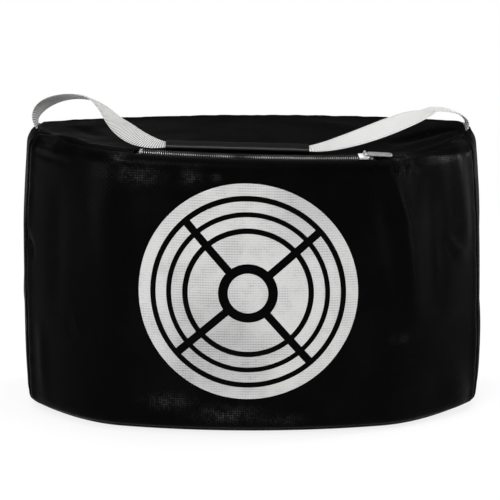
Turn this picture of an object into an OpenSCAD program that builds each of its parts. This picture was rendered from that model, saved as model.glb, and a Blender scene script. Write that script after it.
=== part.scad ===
// Stuffed golf strike bag: a D-shaped cloth bag with a bowed front that carries a ring target,
// a zip along the front of its top, a webbing handle with a grip, and a stack of folded towels
// inside. Millimetres. X runs left to right, Y from front to back, Z up; the floor is Z = 0.

/* [Bag] */
// Widest part of the bag, side to side
bag_w = 480; // [420:1:540]
// Depth through the middle, front to back
bag_d = 210; // [190:1:240]
// Height of the top panel's front edge above the floor
bag_h = 282; // [260:1:330]
// Radius of the front's evenly bowed middle, seen from above
front_r = 600; // [450:1:800]
// Width of that middle; past it the front rounds off to its side seams
middle_w = 268; // [266:1:290]
// How far the side seams stand behind the front's middle at the top
front_depth = 101; // [85:1:110]
// The same at the floor
foot_depth = 86; // [75:1:105]
// How far the front leans back between its belly and its top edge
front_lean = 15; // [4:1:20]
// Height of the front's belly
belly_h = 85; // [50:1:120]
// How far the sides and back draw in at the top
top_draw = 7; // [2:0.5:8]
// How far they draw in at the floor
foot_draw = 2; // [0:0.5:6]
// How far inside the overall width the front side seams stand
front_seam_in = 8; // [5:0.5:14]
// How far inside the overall width the back side seams stand
back_seam_in = 3; // [2:0.5:10]
// How far each side gusset bulges
side_bulge = 5; // [1:0.5:8]
// How far the back panel bulges
back_bulge = 10; // [3:0.5:15]
// Rounding along the floor
foot_r = 16; // [12:0.5:24]
// Rounding along the top edge
shoulder_r = 14; // [13:0.5:18]
// How far up that rounding the top seam runs, in degrees: 0 at the wall, 90 on the top
seam_turn = 70; // [60:1:72]
// Rise of the top panel's middle over its edge
crown = 1.5; // [0:0.5:6]
// Rise of the back edge's middle over the front edge
back_rise = 10; // [0:0.5:12]
// How far the back corners stay under the back edge's middle
back_sag = 7; // [0:0.5:10]
// Slope of the front edge down to the right, where the filling has settled, in degrees
settle_angle = 1.6; // [0:0.1:2]
// Thickness of the coated cloth
cloth = 1.2; // [0.8:0.1:1.6]

/* [Seam bindings] */
// Thickness of the binding sewn over each inside seam
binding_t = 1; // [0.6:0.1:1.2]
// Half of the binding's width, each side of a seam
binding_w = 8; // [4:0.5:9]

/* [Filling] */
// Space between the bag's outer face and the towels' sides
towel_inset = 6; // [5.5:0.5:9]
// Space between the stack and the top panel
top_space = 3; // [2:0.5:8]
// Rounding of a folded towel's edges
towel_edge_r = 9; // [4:0.5:12]

/* [Target] */
// Outside radius of the printed target
target_r = 109; // [100:0.5:115]
// Height of its centre
target_z = 148; // [140:1:155]
// Its centre's place across the front
target_x = -3.5; // [-10:0.5:10]
// Inside radius of the outer ring
ring_1_in = 97; // [93:0.5:99]
// Outside radius of the second ring
ring_2_out = 91.5; // [85:0.5:92]
// Inside radius of the second ring
ring_2_in = 81; // [78:0.5:84]
// Outside radius of the third ring
ring_3_out = 76; // [70:0.5:77]
// Inside radius of the third ring
ring_3_in = 65; // [62:0.5:68]
// Outside radius of the four sectors
sector_out = 59.5; // [45:0.5:61]
// Inside radius of the four sectors
sector_in = 29.5; // [24:0.5:40]
// Radius of the centre spot
spot_r = 20; // [10:0.5:23]
// Width of the four unprinted spokes
spoke_w = 8; // [4:0.5:12]
// Turn of the cross of spokes from the diagonals
spoke_turn = -4; // [-10:0.5:10]
// Thickness of the printed film
film_t = 0.3; // [0.2:0.05:0.4]

/* [Zip] */
// Length of the row of teeth along the top's front edge
zip_length = 225; // [180:1:228]
// How far the middle of that row stands to the right of the bag's middle
zip_x = 4.5; // [-6:0.5:6]
// Width of each tape
zip_tape_w = 12; // [9:0.5:14]
// Thickness of each tape
zip_tape_t = 0.8; // [0.5:0.1:1]
// Thickness of one row of teeth
teeth_d = 2.6; // [2.2:0.1:2.8]
// Gap between the rows, which the slider's web runs in
teeth_gap = 1.2; // [1:0.1:1.4]
// Distance between the folded panel edges, in which the teeth show
zip_opening = 9.6; // [9.4:0.1:10.5]
// Length of each end stop
stop_len = 3; // [2:0.5:5]

/* [Zip slider] */
// Length of the slider along the zip
slider_len = 11; // [9:0.5:14]
// Thickness of its plates
plate_t = 1; // [0.8:0.1:1.2]
// Thickness of its web and flanges
web_t = 0.6; // [0.4:0.05:0.6]
// Length of the pull tab
pull_len = 28; // [20:0.5:36]
// Width of the pull tab
pull_w = 6; // [5:0.5:7]
// Thickness of the pull tab
pull_t = 1.4; // [1.2:0.1:1.6]
// Radius of the pin that the tab turns on
pull_pin_r = 0.8; // [0.6:0.05:0.9]
// Slope of the resting tab down to the cloth, in degrees
pull_droop = 4; // [0:0.5:4]

/* [Handle] */
// Width of the webbing
strap_w = 25; // [20:0.5:28]
// Thickness of the webbing
strap_t = 1.8; // [1.4:0.1:2.4]
// Distance of the middle of each sewn end from the back of the bag
anchor_back = 47; // [45:1:55]
// Left end of the grip, across the bag
grip_left = -85; // [-100:1:-70]
// Length of the grip
grip_len = 142; // [120:1:150]
// Distance of the grip from the front of the bag at its middle
grip_in = 49; // [48:1:55]
// Height of the grip's middle over the top panel's front edge
grip_rise = 3.6; // [3.5:0.1:9]
// Thickness of the grip's sleeve
grip_wall = 1.2; // [0.8:0.1:1.4]
// Peak of the left loop: inward, forward and up from its sewn end
left_peak = [54, 22, 33];
// Peak of the right loop: inward, forward and up from its sewn end
right_peak = [34, 11, 20];

/* [Hidden] */
$fn = 48;

cloth_black = "#1b1b1d";
lining_black = "#2a2a2c";
metal_black = "#3a3a3e";
print_grey = "#cfcfcf";
web_grey = "#dcdcda";

half_w = bag_w / 2;
back_y = bag_d / 2;
bow_y = front_r - bag_d / 2;         // middle of the front's bow
middle_turn = asin(middle_w / 2 / front_r);
middle = [0, 10];                    // where the top and bottom panels' rings close
wall_h = bag_h - foot_r - shoulder_r;
hair = 0.2;                          // space left between sewn layers
clear = 0.3;                         // space round what moves

// ---- the bag's skin -------------------------------------------------------------------
// A place on the skin is (u, w, t). u runs round the bag from the front left seam: 0 to 1 the
// front, 1 to 2 the right gusset, 2 to 3 the back, 3 to 4 the left gusset. w runs up it: 0 to 1
// the bottom, 1 to 2 the rounded foot, 2 to 3 the wall, 3 to 4 the shoulder, 4 to 5 the top.
// t is the depth under the cloth's outer face.

function lean(z) = front_lean * pow((z - belly_h) / (bag_h - belly_h), 2);
function draw_in(z) = (2 * z > bag_h ? top_draw : foot_draw) * pow(2 * z / bag_h - 1, 2);
function bow(z, t) = front_r - lean(z) - t;

function front_seam(z, t) =
    let (depth = foot_depth + (front_depth - foot_depth) * z / bag_h)
    [half_w - front_seam_in - draw_in(z) - t, depth - bag_d / 2 + lean(z) + t];

function back_seam(z, t) =
    [half_w - back_seam_in - draw_in(z) - t, back_y - back_bulge - draw_in(z) - t];

// an arc in the middle, and from its ends a parabola to each side seam
function front_point(s, z, t) =
    let (seam = front_seam(z, t), x = (2 * s - 1) * seam.x, r = bow(z, t),
         end = [r * sin(middle_turn), bow_y - r * cos(middle_turn)],
         past = max(0, abs(x) - end.x), run = seam.x - end.x,
         rest = seam.y - end.y - run * tan(middle_turn))
    [x, past == 0 ? bow_y - sqrt(r * r - x * x)
        : end.y + past * tan(middle_turn) + rest * pow(past / run, 2)];

function side_point(s, z, t) =
    let (f = front_seam(z, t), b = back_seam(z, t))
    f + s * (b - f) + [4 * side_bulge * s * (1 - s), 0];

function back_point(s, z, t) =
    let (b = back_seam(z, t), q = 1 - 2 * s)
    [b.x * q, b.y + back_bulge * (1 - pow(abs(q), 3))];

function mirrored(p) = [-p.x, p.y];

function outline(u, z, t) =
    let (v = u < 0 ? u + 4 : u >= 4 ? u - 4 : u)
    v < 1 ? front_point(v, z, t)
    : v < 2 ? side_point(v - 1, z, t)
    : v < 3 ? back_point(v - 2, z, t)
    : mirrored(side_point(4 - v, z, t));

// wall depth, height and share of the outline at one level
function level(w, t) =
    let (foot = foot_r - t, shoulder = shoulder_r - t, a = 90 * (w - floor(w)))
    w < 1 ? [foot_r, t, w]
    : w < 2 ? [foot_r - foot * sin(a), foot_r - foot * cos(a), 1]
    : w < 3 ? [t, foot_r + (w - 2) * wall_h, 1]
    : w < 4 ? [shoulder_r - shoulder * cos(a), bag_h - shoulder_r + shoulder * sin(a), 1]
    : [shoulder_r, bag_h - t + crown * (1 - pow(5 - w, 2)), 5 - w];

// how far the filling lifts or drops the top at a place in plan
plateau_y = -60;                     // in front of this the top edge stays in one plane
function top_lift(p) =
    let (q = max(0, p.y - plateau_y) / (back_y - plateau_y))
    q * q * (back_rise - back_sag * pow(p.x / half_w, 2))
        - tan(settle_angle) * p.x * (1 - 1.25 * q);

function settled(p, z) = [p.x, p.y, z + top_lift(p) * pow(z / bag_h, 3)];

function skin(u, w, t) =
    let (l = level(w, t), p = outline(u, min(l[1], bag_h), l[0]))
    settled(middle + l[2] * (p - middle), l[1]);

// levels a distance above or below the top seam and the foot seam, along the cloth
function seam_level(s) =
    let (arc = shoulder_r * PI / 2, low = arc * seam_turn / 90, high = arc - low)
    s < -low ? 3 + (s + low) / wall_h
    : s > high ? 4 + (s - high) / (middle.y - shoulder_r + back_y)
    : 3 + (s + low) / arc;

function foot_level(s) =
    let (arc = foot_r * PI / 4)
    s > arc ? 2 + (s - arc) / wall_h
    : s < -arc ? 1 + (s + arc) / (middle.y - foot_r + back_y)
    : 1.5 + s / (2 * arc);

function steps(from, to, n) = [for (k = [0 : n]) from + (to - from) * k / n];

// One closed sheet between two depths. columns are its places round the bag and rows(u) its
// levels at one of them. It can run right round, and close on the middle of the top or bottom.
module sheet(columns, rows, outer, inner, round_bag = false, hub = -1) {
    n = len(columns);
    m = len(rows(columns[0]));
    hubs = hub < 0 ? [] : [skin(0, hub, outer), skin(0, hub, inner)];
    points = concat(
        [for (t = [outer, inner]) for (u = columns) for (w = rows(u)) skin(u, w, t)],
        hubs
    );
    function id(side, i, j) = side * n * m + (i % n) * m + j;
    function two(a, b, c, d) = [[a, b, c], [a, c, d]];
    last = round_bag ? n - 1 : n - 2;
    faces = [
        for (i = [0 : last]) each [
            for (j = [0 : m - 2]) each concat(
                two(id(0, i, j), id(0, i, j + 1), id(0, i + 1, j + 1), id(0, i + 1, j)),
                two(id(1, i, j), id(1, i + 1, j), id(1, i + 1, j + 1), id(1, i, j + 1))
            ),
            each hub == 0
                ? [[id(0, i, 0), id(0, i + 1, 0), 2 * n * m],
                   [id(1, i + 1, 0), id(1, i, 0), 2 * n * m + 1]]
                : two(id(0, i, 0), id(0, i + 1, 0), id(1, i + 1, 0), id(1, i, 0)),
            each hub == 5
                ? [[id(0, i + 1, m - 1), id(0, i, m - 1), 2 * n * m],
                   [id(1, i, m - 1), id(1, i + 1, m - 1), 2 * n * m + 1]]
                : two(id(0, i + 1, m - 1), id(0, i, m - 1), id(1, i, m - 1), id(1, i + 1, m - 1))
        ],
        if (!round_bag) for (j = [0 : m - 2]) each concat(
            two(id(0, 0, j + 1), id(0, 0, j), id(1, 0, j), id(1, 0, j + 1)),
            two(id(0, n - 1, j), id(0, n - 1, j + 1), id(1, n - 1, j + 1), id(1, n - 1, j))
        )
    ];
    polyhedron(points, faces);
}

// ---- places round the bag ---------------------------------------------------------------
seam_in = shoulder_r * (1 - cos(seam_turn));
seam_z = bag_h - shoulder_r * (1 - sin(seam_turn));
zip_r = bow(seam_z, seam_in);        // radius of the zip's line about the bow's middle
zip_half = zip_length / 2 / zip_r * 180 / PI;
stop_angle = (hair + stop_len) / zip_r * 180 / PI;
mouth_half = zip_half + 2 * stop_angle;
zip_mid = asin(zip_x / zip_r);
function front_place(a) = 0.5 + zip_r * sin(a) / front_seam(seam_z, seam_in).x / 2;
function side_place(y) =
    let (f = front_seam(seam_z, seam_in).y, b = back_seam(seam_z, seam_in).y)
    (y - f) / (b - f);

mouth_left = front_place(zip_mid - mouth_half);
mouth_right = front_place(zip_mid + mouth_half);
anchor_y = bag_d / 2 - anchor_back;
slit_front = side_place(anchor_y - strap_w / 2 - hair);
slit_back = side_place(anchor_y + strap_w / 2 + hair);
edge = 0.003;                        // a share in which a panel's edge steps aside

front_columns = concat(steps(0, mouth_left - edge, 8), steps(mouth_left, mouth_right, 20),
                       steps(mouth_right + edge, 1, 8));
side_columns = concat(steps(0, slit_front - 2 * edge, 4), steps(slit_front, slit_back, 3),
                      steps(slit_back + 2 * edge, 1, 2));
back_columns = steps(0, 1, 20);
function but_last(list) = [for (k = [0 : len(list) - 2]) list[k]];
ring_columns = concat(but_last(front_columns), but_last([for (s = side_columns) 1 + s]),
                      but_last([for (s = back_columns) 2 + s]),
                      but_last([for (k = [len(side_columns) - 1 : -1 : 0]) 4 - side_columns[k]]));

function in_mouth(u) = u >= mouth_left && u <= mouth_right;
function in_slit(u) =
    let (s = u > 3 ? 4 - u : u - 1)
    s >= slit_front - edge / 2 && s <= slit_back + edge / 2;
// how far the panels' edges stand back from the top seam
function seam_back(u) = in_mouth(u) ? zip_opening / 2 : in_slit(u) ? strap_t / 2 + hair : 0;

foot_rows = steps(1.5, 2, 3);
wall_rows = [for (k = [1 : 8]) 2 + k / 8];
function panel_rows(u) =
    concat(foot_rows, wall_rows, [for (k = [1 : 3]) 3 + (seam_level(-seam_back(u)) - 3) * k / 3]);
function top_rows(u) = concat([seam_level(seam_back(u))], [3.86, 4, 4.15, 4.4, 4.7]);

module front_panel()
    color(cloth_black) sheet(front_columns, function (u) panel_rows(u), 0, cloth);

module back_panel()
    color(cloth_black)
        sheet([for (s = back_columns) 2 + s], function (u) panel_rows(u), 0, cloth);

module right_gusset()
    color(cloth_black)
        sheet([for (s = side_columns) 1 + s], function (u) panel_rows(u), 0, cloth);

module left_gusset()
    color(cloth_black)
        sheet([for (k = [len(side_columns) - 1 : -1 : 0]) 4 - side_columns[k]],
              function (u) panel_rows(u), 0, cloth);

module top_panel()
    color(cloth_black)
        sheet(ring_columns, function (u) top_rows(u), 0, cloth, round_bag = true, hub = 5);

module bottom_panel()
    color(cloth_black)
        sheet(ring_columns, function (u) [0.5, 1, 1.25, 1.5], 0, cloth, round_bag = true, hub = 0);

// ---- printed target ---------------------------------------------------------------------
// A place on the print by its radius and angle, a height over the cloth's face.
function print_point(r, a, over) =
    let (z = target_z + r * sin(a), turn = (target_x + r * cos(a)) / bow(z, 0) * 180 / PI,
         out = bow(z, 0) + over)
    settled([out * sin(turn), bow_y - out * cos(turn)], z);

// One printed patch between two radii; trim takes half a spoke off each of its ends.
module print_patch(r_in, r_out, from, to, trim = 0) {
    n = ceil((to - from) / 7.5);
    radii = steps(r_in, r_out, r_out - r_in > 20 ? 2 : 1);
    m = len(radii);
    points = [
        for (over = [hair + film_t, hair]) for (i = [0 : n]) for (r = radii)
            let (cut = trim == 0 ? 0 : asin(trim / r))
            print_point(r, from + cut + (to - from - 2 * cut) * i / n, over)
    ];
    full = to - from >= 360;
    count = full ? n : n + 1;
    function id(side, i, j) = side * (n + 1) * m + (i % count) * m + j;
    function two(a, b, c, d) = [[a, b, c], [a, c, d]];
    faces = [
        for (i = [0 : n - 1]) each [
            for (j = [0 : m - 2]) each concat(
                two(id(0, i, j), id(0, i + 1, j), id(0, i + 1, j + 1), id(0, i, j + 1)),
                two(id(1, i, j), id(1, i, j + 1), id(1, i + 1, j + 1), id(1, i + 1, j))
            ),
            each two(id(0, i + 1, 0), id(0, i, 0), id(1, i, 0), id(1, i + 1, 0)),
            each two(id(0, i, m - 1), id(0, i + 1, m - 1), id(1, i + 1, m - 1), id(1, i, m - 1))
        ],
        if (!full) for (j = [0 : m - 2]) each concat(
            two(id(0, 0, j), id(0, 0, j + 1), id(1, 0, j + 1), id(1, 0, j)),
            two(id(0, n, j + 1), id(0, n, j), id(1, n, j), id(1, n, j + 1))
        )
    ];
    polyhedron(points, faces);
}

// The centre spot: a disc that closes on its middle.
module print_spot() {
    n = 48;
    points = concat(
        [for (over = [hair + film_t, hair]) for (i = [0 : n - 1])
            print_point(spot_r, i * 360 / n, over)],
        [print_point(0, 0, hair + film_t), print_point(0, 0, hair)]
    );
    faces = [
        for (i = [0 : n - 1]) let (k = (i + 1) % n) each [
            [k, i, 2 * n], [n + i, n + k, 2 * n + 1],
            [i, k, n + k], [i, n + k, n + i]
        ]
    ];
    polyhedron(points, faces);
}

module target_print()
    color(print_grey) {
        print_patch(ring_1_in, target_r, 0, 360);
        for (k = [0 : 3]) {
            from = spoke_turn - 45 + 90 * k;
            print_patch(ring_2_in, ring_2_out, from, from + 90, spoke_w / 2);
            print_patch(ring_3_in, ring_3_out, from, from + 90, spoke_w / 2);
            print_patch(sector_in, sector_out, from, from + 90, spoke_w / 2);
        }
        print_spot();
    }

// ---- zip ------------------------------------------------------------------------------
// The zip follows a ring about the bow's middle, in the slope of the top seam.
zip_lean = atan(tan(settle_angle) * pow(seam_z / bag_h, 3));
tape_half = mouth_half - clear / zip_r * 180 / PI;
tape_columns = steps(front_place(zip_mid - tape_half), front_place(zip_mid + tape_half), 24);
tape_top = cloth + hair;
tape_under = tape_top + zip_tape_t;

module settle_zip()
    translate([0, 0, seam_z]) rotate([0, zip_lean, 0]) translate([0, 0, -seam_z]) children();

// x along the zip to the right, y across it up the slope, z out of the cloth
module on_zip(a)
    settle_zip()
        translate([0, bow_y, 0]) rotate([0, 0, a]) translate([0, -zip_r, seam_z])
            rotate([90 - seam_turn, 0, 0]) children();

module zip_tape(from, to)
    color(lining_black)
        sheet(tape_columns, function (u) [for (s = steps(from, to, 4)) seam_level(s)],
              tape_top, tape_under);

tape_edge = teeth_gap / 2 + clear;   // the tapes stop short of the slider's web
module zip_tape_front() zip_tape(-zip_tape_w - tape_edge, -tape_edge);
module zip_tape_rear() zip_tape(tape_edge, zip_tape_w + tape_edge);

row_s = (teeth_gap + teeth_d) / 2;

module zip_teeth(s)
    color(metal_black) settle_zip()
        translate([0, bow_y, seam_z]) rotate([0, 0, zip_mid - 90 - zip_half])
            rotate_extrude(angle = 2 * zip_half, $fn = 128)
                translate([zip_r - s * sin(seam_turn), s * cos(seam_turn)])
                    circle(d = teeth_d, $fn = 24);

module zip_teeth_front() zip_teeth(-row_s);
module zip_teeth_rear() zip_teeth(row_s);

module zip_stop(side)
    color(metal_black)
        on_zip(zip_mid + side * (zip_half + stop_angle / 2 + hair / 2 / zip_r * 180 / PI))
            translate([-stop_len / 2, -row_s - teeth_d / 2, -teeth_d / 2 + hair])
                cube([stop_len, 2 * row_s + teeth_d, teeth_d - hair]);

module zip_stop_left() zip_stop(-1);
module zip_stop_right() zip_stop(1);

// ---- slider and pull ------------------------------------------------------------------
slider_rest = zip_mid + zip_half - (slider_len / 2 + clear) / zip_r * 180 / PI;
plate_under = teeth_d / 2 + clear;
flange_in = row_s + teeth_d / 2 + clear;
slider_w = 2 * (flange_in + web_t);
keel_top = -tape_under - 3 * clear;
hub_clear = 0.08;
hub_r = pull_pin_r + hub_clear + 0.6;
pin_z = plate_under + plate_t + hub_r + clear;
pin_x = slider_len / 2 - 4.5;
ear_gap = 4.4;
ear_t = 1;
hub_w = ear_gap - 2 * clear;

module zip_slider()
    color(metal_black) on_zip(slider_rest) {
        translate([-slider_len / 2, -slider_w / 2, plate_under])
            cube([slider_len, slider_w, plate_t]);
        for (side = [-1, 1])
            translate([-slider_len / 2, side * (flange_in + web_t / 2) - web_t / 2, 0])
                cube([slider_len, web_t, plate_under + plate_t]);
        translate([-2, -web_t / 2, keel_top - plate_t])
            cube([4, web_t, plate_under - keel_top + 1.5 * plate_t]);
        translate([-slider_len / 2, -row_s - 1, keel_top - plate_t])
            cube([slider_len, 2 * row_s + 2, plate_t]);
        for (side = [-1, 1])
            translate([pin_x, side * (ear_gap + ear_t) / 2, 0]) {
                translate([-hub_r, -ear_t / 2, plate_under + plate_t / 2])
                    cube([2 * hub_r, ear_t, pin_z - plate_under - plate_t / 2]);
                translate([0, 0, pin_z]) rotate([90, 0, 0])
                    cylinder(r = hub_r, h = ear_t, center = true);
            }
        translate([pin_x, 0, pin_z]) rotate([90, 0, 0])
            cylinder(r = pull_pin_r, h = ear_gap + 2 * ear_t, center = true);
    }

module zip_pull()
    color(metal_black) on_zip(slider_rest)
        translate([pin_x, 0, pin_z]) rotate([0, pull_droop, 0]) difference() {
            union() {
                rotate([90, 0, 0]) cylinder(r = hub_r, h = hub_w, center = true);
                translate([0, -hub_w / 2, -pull_t / 2]) cube([hub_r + 3, hub_w, pull_t]);
                translate([hub_r + 2, -pull_w / 2, -pull_t / 2])
                    cube([pull_len - hub_r - 2 - pull_w / 2, pull_w, pull_t]);
                translate([pull_len - pull_w / 2, 0, 0])
                    cylinder(d = pull_w, h = pull_t, center = true);
            }
            rotate([90, 0, 0]) cylinder(r = pull_pin_r + hub_clear, h = 2 * hub_w, center = true);
            translate([pull_len - pull_w / 2, 0, 0])
                cylinder(d = pull_w / 3, h = 2 * pull_t, center = true);
        }

// ---- handle ---------------------------------------------------------------------------
proud = 1;                           // the sewn ends stand this far out of the top seam
grip_front = bag_d / 2 - grip_in;
grip_z = bag_h + grip_rise;
anchor_s = side_place(anchor_y);
right_anchor = skin(1 + anchor_s, seam_level(0), -proud);
left_anchor = skin(4 - anchor_s, seam_level(0), -proud);
// how stiffly a loop leaves the seam, runs into its peak, out of it and on to the grip
left_run = [21, 46, 45, 49];
right_run = [12, 21, 25, 33.5];
// where the webbing turns over, its tilt before and after that, how late the second tilt comes, and
// how far the webbing twists just over its sewn end
left_turn = [0.64, -0.44, 0.41, 1.3, 0.46];
right_turn = [0.56, -0.04, 0.37, 0.75, -0.21];

function unit(v) = v / norm(v);
function curve(p, t) =
    let (s = 1 - t)
    s * s * s * p[0] + 3 * s * s * t * p[1] + 3 * s * t * t * p[2] + t * t * t * p[3];
function slope(p, t) =
    let (s = 1 - t)
    unit(s * s * (p[1] - p[0]) + 2 * s * t * (p[2] - p[1]) + t * t * (p[3] - p[2]));

function grip_at(x) = [x, -grip_front, grip_z - x * tan(settle_angle)];

// both arcs of a loop, from just over its sewn end, over its peak, to the grip
function loop_arcs(side, anchor, seat, reach, run, grip_x) =
    let (out = [side * cos(seam_turn), 0, sin(seam_turn)],
         up = unit(out - (out * seat) * seat),
         root = anchor + clear * up,
         peak = anchor + [-side * reach[0], -reach[1], reach[2]],
         grip = grip_at(grip_x),
         way = unit([grip.x - peak.x, grip.y - peak.y, 0]))
    [[root, root + run[0] * up, peak - run[1] * way, peak],
     [peak, peak + run[2] * way, grip_at(grip_x + side * run[3]), grip]];

function tilt(q, turn) =
    q < turn[0] ? turn[1] * sin(180 * q / turn[0])
    : turn[2] * sin(180 * pow((q - turn[0]) / (1 - turn[0]), turn[3]));
function twist(q, turn) = turn[4] * sin(180 * min(1, 2 * q));

// middle of the webbing, its direction and its crosswise direction at stations along a loop
arc_steps = 9;
function loop_stations(arcs, turn, seat) = [
    for (half = [0, 1]) for (k = [half : arc_steps])
        let (t = k / arc_steps, q = (half + t) / 2, d = slope(arcs[half], t),
             across = [twist(q, turn), 1, tilt(q, turn)] + pow(1 - q, 6) * (seat - [0, 1, 0]))
        [curve(arcs[half], t), d, unit(across - (across * d) * d)]
];
left_seat = unit(skin(4 - slit_back, seam_level(0), 0) - skin(4 - slit_front, seam_level(0), 0));
right_seat = unit(skin(1 + slit_back, seam_level(0), 0) - skin(1 + slit_front, seam_level(0), 0));
left_loop = loop_stations(
    loop_arcs(-1, left_anchor, left_seat, left_peak, left_run, grip_left), left_turn, left_seat);
right_loop = loop_stations(
    loop_arcs(1, right_anchor, right_seat, right_peak, right_run, grip_left + grip_len),
    right_turn, right_seat);
webbing = concat(
    left_loop,
    [for (k = [len(right_loop) - 1 : -1 : 0]) let (s = right_loop[k]) [s[0], -s[1], s[2]]]
);

module handle_strap() {
    n = len(webbing);
    points = [
        for (s = webbing)
            let (wide = s[2] * strap_w / 2, thick = cross(s[1], s[2]) * strap_t / 2)
            each [s[0] - wide - thick, s[0] + wide - thick, s[0] + wide + thick, s[0] - wide + thick]
    ];
    faces = concat(
        [[0, 1, 2], [0, 2, 3]],
        [for (i = [0 : n - 2]) for (k = [0 : 3])
            let (a = 4 * i + k, b = 4 * i + (k + 1) % 4)
            each [[a, a + 4, b + 4], [a, b + 4, b]]],
        [[4 * n - 1, 4 * n - 2, 4 * n - 3], [4 * n - 1, 4 * n - 3, 4 * n - 4]]
    );
    color(web_grey) polyhedron(points, faces);
}

// A flat band's section with round edges.
module band_section(w, t) {
    square([w - t, t], center = true);
    for (side = [-1, 1])
        translate([side * (w - t) / 2, 0]) circle(d = t);
}

module handle_grip()
    color(cloth_black)
        translate(grip_at(grip_left)) rotate([0, settle_angle, 0]) rotate([90, 0, 90])
            linear_extrude(grip_len / cos(settle_angle)) difference() {
                band_section(strap_w + 2 * hair + 2 * grip_wall, strap_t + 2 * hair + 2 * grip_wall);
                square([strap_w + 2 * hair, strap_t + 2 * hair], center = true);
            }

// The sewn tail of the webbing: through the slit in the top seam, then down inside the gusset.
tail_len = 16;
tail_out = cloth + 2 * hair;
tail_in = tail_out + strap_t;
module strap_end(places) {
    half = strap_t / 2;
    color(web_grey) union() {
        sheet(places, function (u) [seam_level(-half), seam_level(half)], -proud, tail_in);
        sheet(places, function (u) [for (s = steps(-tail_len, half, 4)) seam_level(s)],
              tail_out, tail_in);
    }
}
tail_places = steps(slit_front + edge / 2, slit_back - edge / 2, 2);
module strap_end_right() strap_end([for (s = tail_places) 1 + s]);
module strap_end_left() strap_end([for (k = [2 : -1 : 0]) 4 - tail_places[k]]);

// ---- seam bindings --------------------------------------------------------------------
seam_fold = 0.6;                     // the panels' folded edges stand between cloth and binding
binding_out = cloth + seam_fold;
binding_in = binding_out + binding_t;
binding_gap = 0.012;                 // share of a panel kept free beside the zip and the tails

module top_seam_binding() {
    levels = function (u) [for (s = steps(-binding_w, binding_w, 4)) seam_level(s)];
    color(lining_black) {
        sheet(concat(steps(mouth_right + binding_gap, 1, 6), steps(1, 1 + slit_front - 2 * binding_gap, 3)),
              levels, binding_out, binding_in);
        sheet(concat(steps(1 + slit_back + 2 * binding_gap, 2, 2), steps(2, 3, 20),
                     steps(3, 4 - slit_back - 2 * binding_gap, 2)),
              levels, binding_out, binding_in);
        sheet(concat(steps(4 - slit_front + 2 * binding_gap, 4, 3),
                     steps(4, 4 + mouth_left - binding_gap, 6)),
              levels, binding_out, binding_in);
    }
}

module bottom_seam_binding()
    color(lining_black)
        sheet(ring_columns, function (u) [for (s = steps(-binding_w, binding_w, 4)) foot_level(s)],
              binding_out, binding_in, round_bag = true);

front_len = 10 * norm(front_point(1, seam_z, seam_in) - front_point(0.9, seam_z, seam_in));
side_len = norm(back_seam(seam_z, seam_in) - front_seam(seam_z, seam_in));
low_end = foot_level(binding_w + 1);
high_end = seam_level(-binding_w - 1);
module side_binding(corner, before, after)
    color(lining_black)
        sheet([corner - binding_w / before, corner, corner + binding_w / after],
              function (u) steps(low_end, high_end, 8), binding_out, binding_in);

module binding_front_left() side_binding(0, side_len, front_len);
module binding_front_right() side_binding(1, front_len, side_len);
module binding_back_right() side_binding(2, side_len, bag_w);
module binding_back_left() side_binding(3, bag_w, side_len);

// ---- filling --------------------------------------------------------------------------
towels = 5;
stack_low = cloth + clear;
stack_high = bag_h - cloth - top_space;
towel_h = (stack_high - stack_low) / towels;

// depth of the stack's side at a height
function stack_in(z) =
    let (t = towel_inset, up = z - bag_h + shoulder_r, down = foot_r - z)
    down > 0 ? foot_r - sqrt(max(0, pow(foot_r - t, 2) - down * down))
    : up > 0 ? shoulder_r - sqrt(max(0, pow(shoulder_r - t, 2) - up * up))
    : t;

// A folded towel: a slice of the stack with its edges rounded.
module folded_towel(k) {
    low = stack_low + k * towel_h;
    high = low + towel_h - clear;
    r = towel_edge_r;
    heights = concat([for (a = [0 : 30 : 90]) low + r * (1 - cos(a))],
                     [for (a = [90 : -30 : 0]) high - r * (1 - cos(a))]);
    function roll(z) =
        let (near = min(z - low, high - z))
        near >= r ? 0 : r - sqrt(r * r - pow(r - near, 2));
    places = steps(0, 3.95, 79);
    n = len(places);
    m = len(heights);
    points = concat(
        [for (z = heights) for (u = places) settled(outline(u, z, stack_in(z) + roll(z)), z)],
        [settled(middle, low), settled(middle, high)]
    );
    faces = [
        for (i = [0 : n - 1]) let (i2 = (i + 1) % n) each concat(
            [for (j = [0 : m - 2]) each [
                [j * n + i, (j + 1) * n + i, (j + 1) * n + i2],
                [j * n + i, (j + 1) * n + i2, j * n + i2]]],
            [[i2, n * m, i], [(m - 1) * n + i, n * m + 1, (m - 1) * n + i2]]
        )
    ];
    color(k % 2 == 0 ? "#b9c2c9" : "#d8d2c4") polyhedron(points, faces);
}
module folded_towel_1() folded_towel(0);
module folded_towel_2() folded_towel(1);
module folded_towel_3() folded_towel(2);
module folded_towel_4() folded_towel(3);
module folded_towel_5() folded_towel(4);

front_panel();
back_panel();
left_gusset();
right_gusset();
top_panel();
bottom_panel();
target_print();
zip_tape_front();
zip_tape_rear();
zip_teeth_front();
zip_teeth_rear();
zip_stop_left();
zip_stop_right();
zip_slider();
zip_pull();
handle_strap();
handle_grip();
strap_end_left();
strap_end_right();
top_seam_binding();
bottom_seam_binding();
binding_front_left();
binding_front_right();
binding_back_left();
binding_back_right();
folded_towel_1();
folded_towel_2();
folded_towel_3();
folded_towel_4();
folded_towel_5();
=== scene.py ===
"""A stuffed strike bag with a ring target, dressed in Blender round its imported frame.

The bag is one lofted skin of coated cloth. Its panels, its print, its zip and its seam tapes are
all cut from that skin, so that each follows the folds of what it is sewn to. Lengths are in metres.
"""

import logging
import math
from dataclasses import dataclass, field
from enum import Enum
from typing import Any, Callable, Sequence

import bpy
import numpy as np
from mathutils import Matrix, Vector, noise

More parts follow.
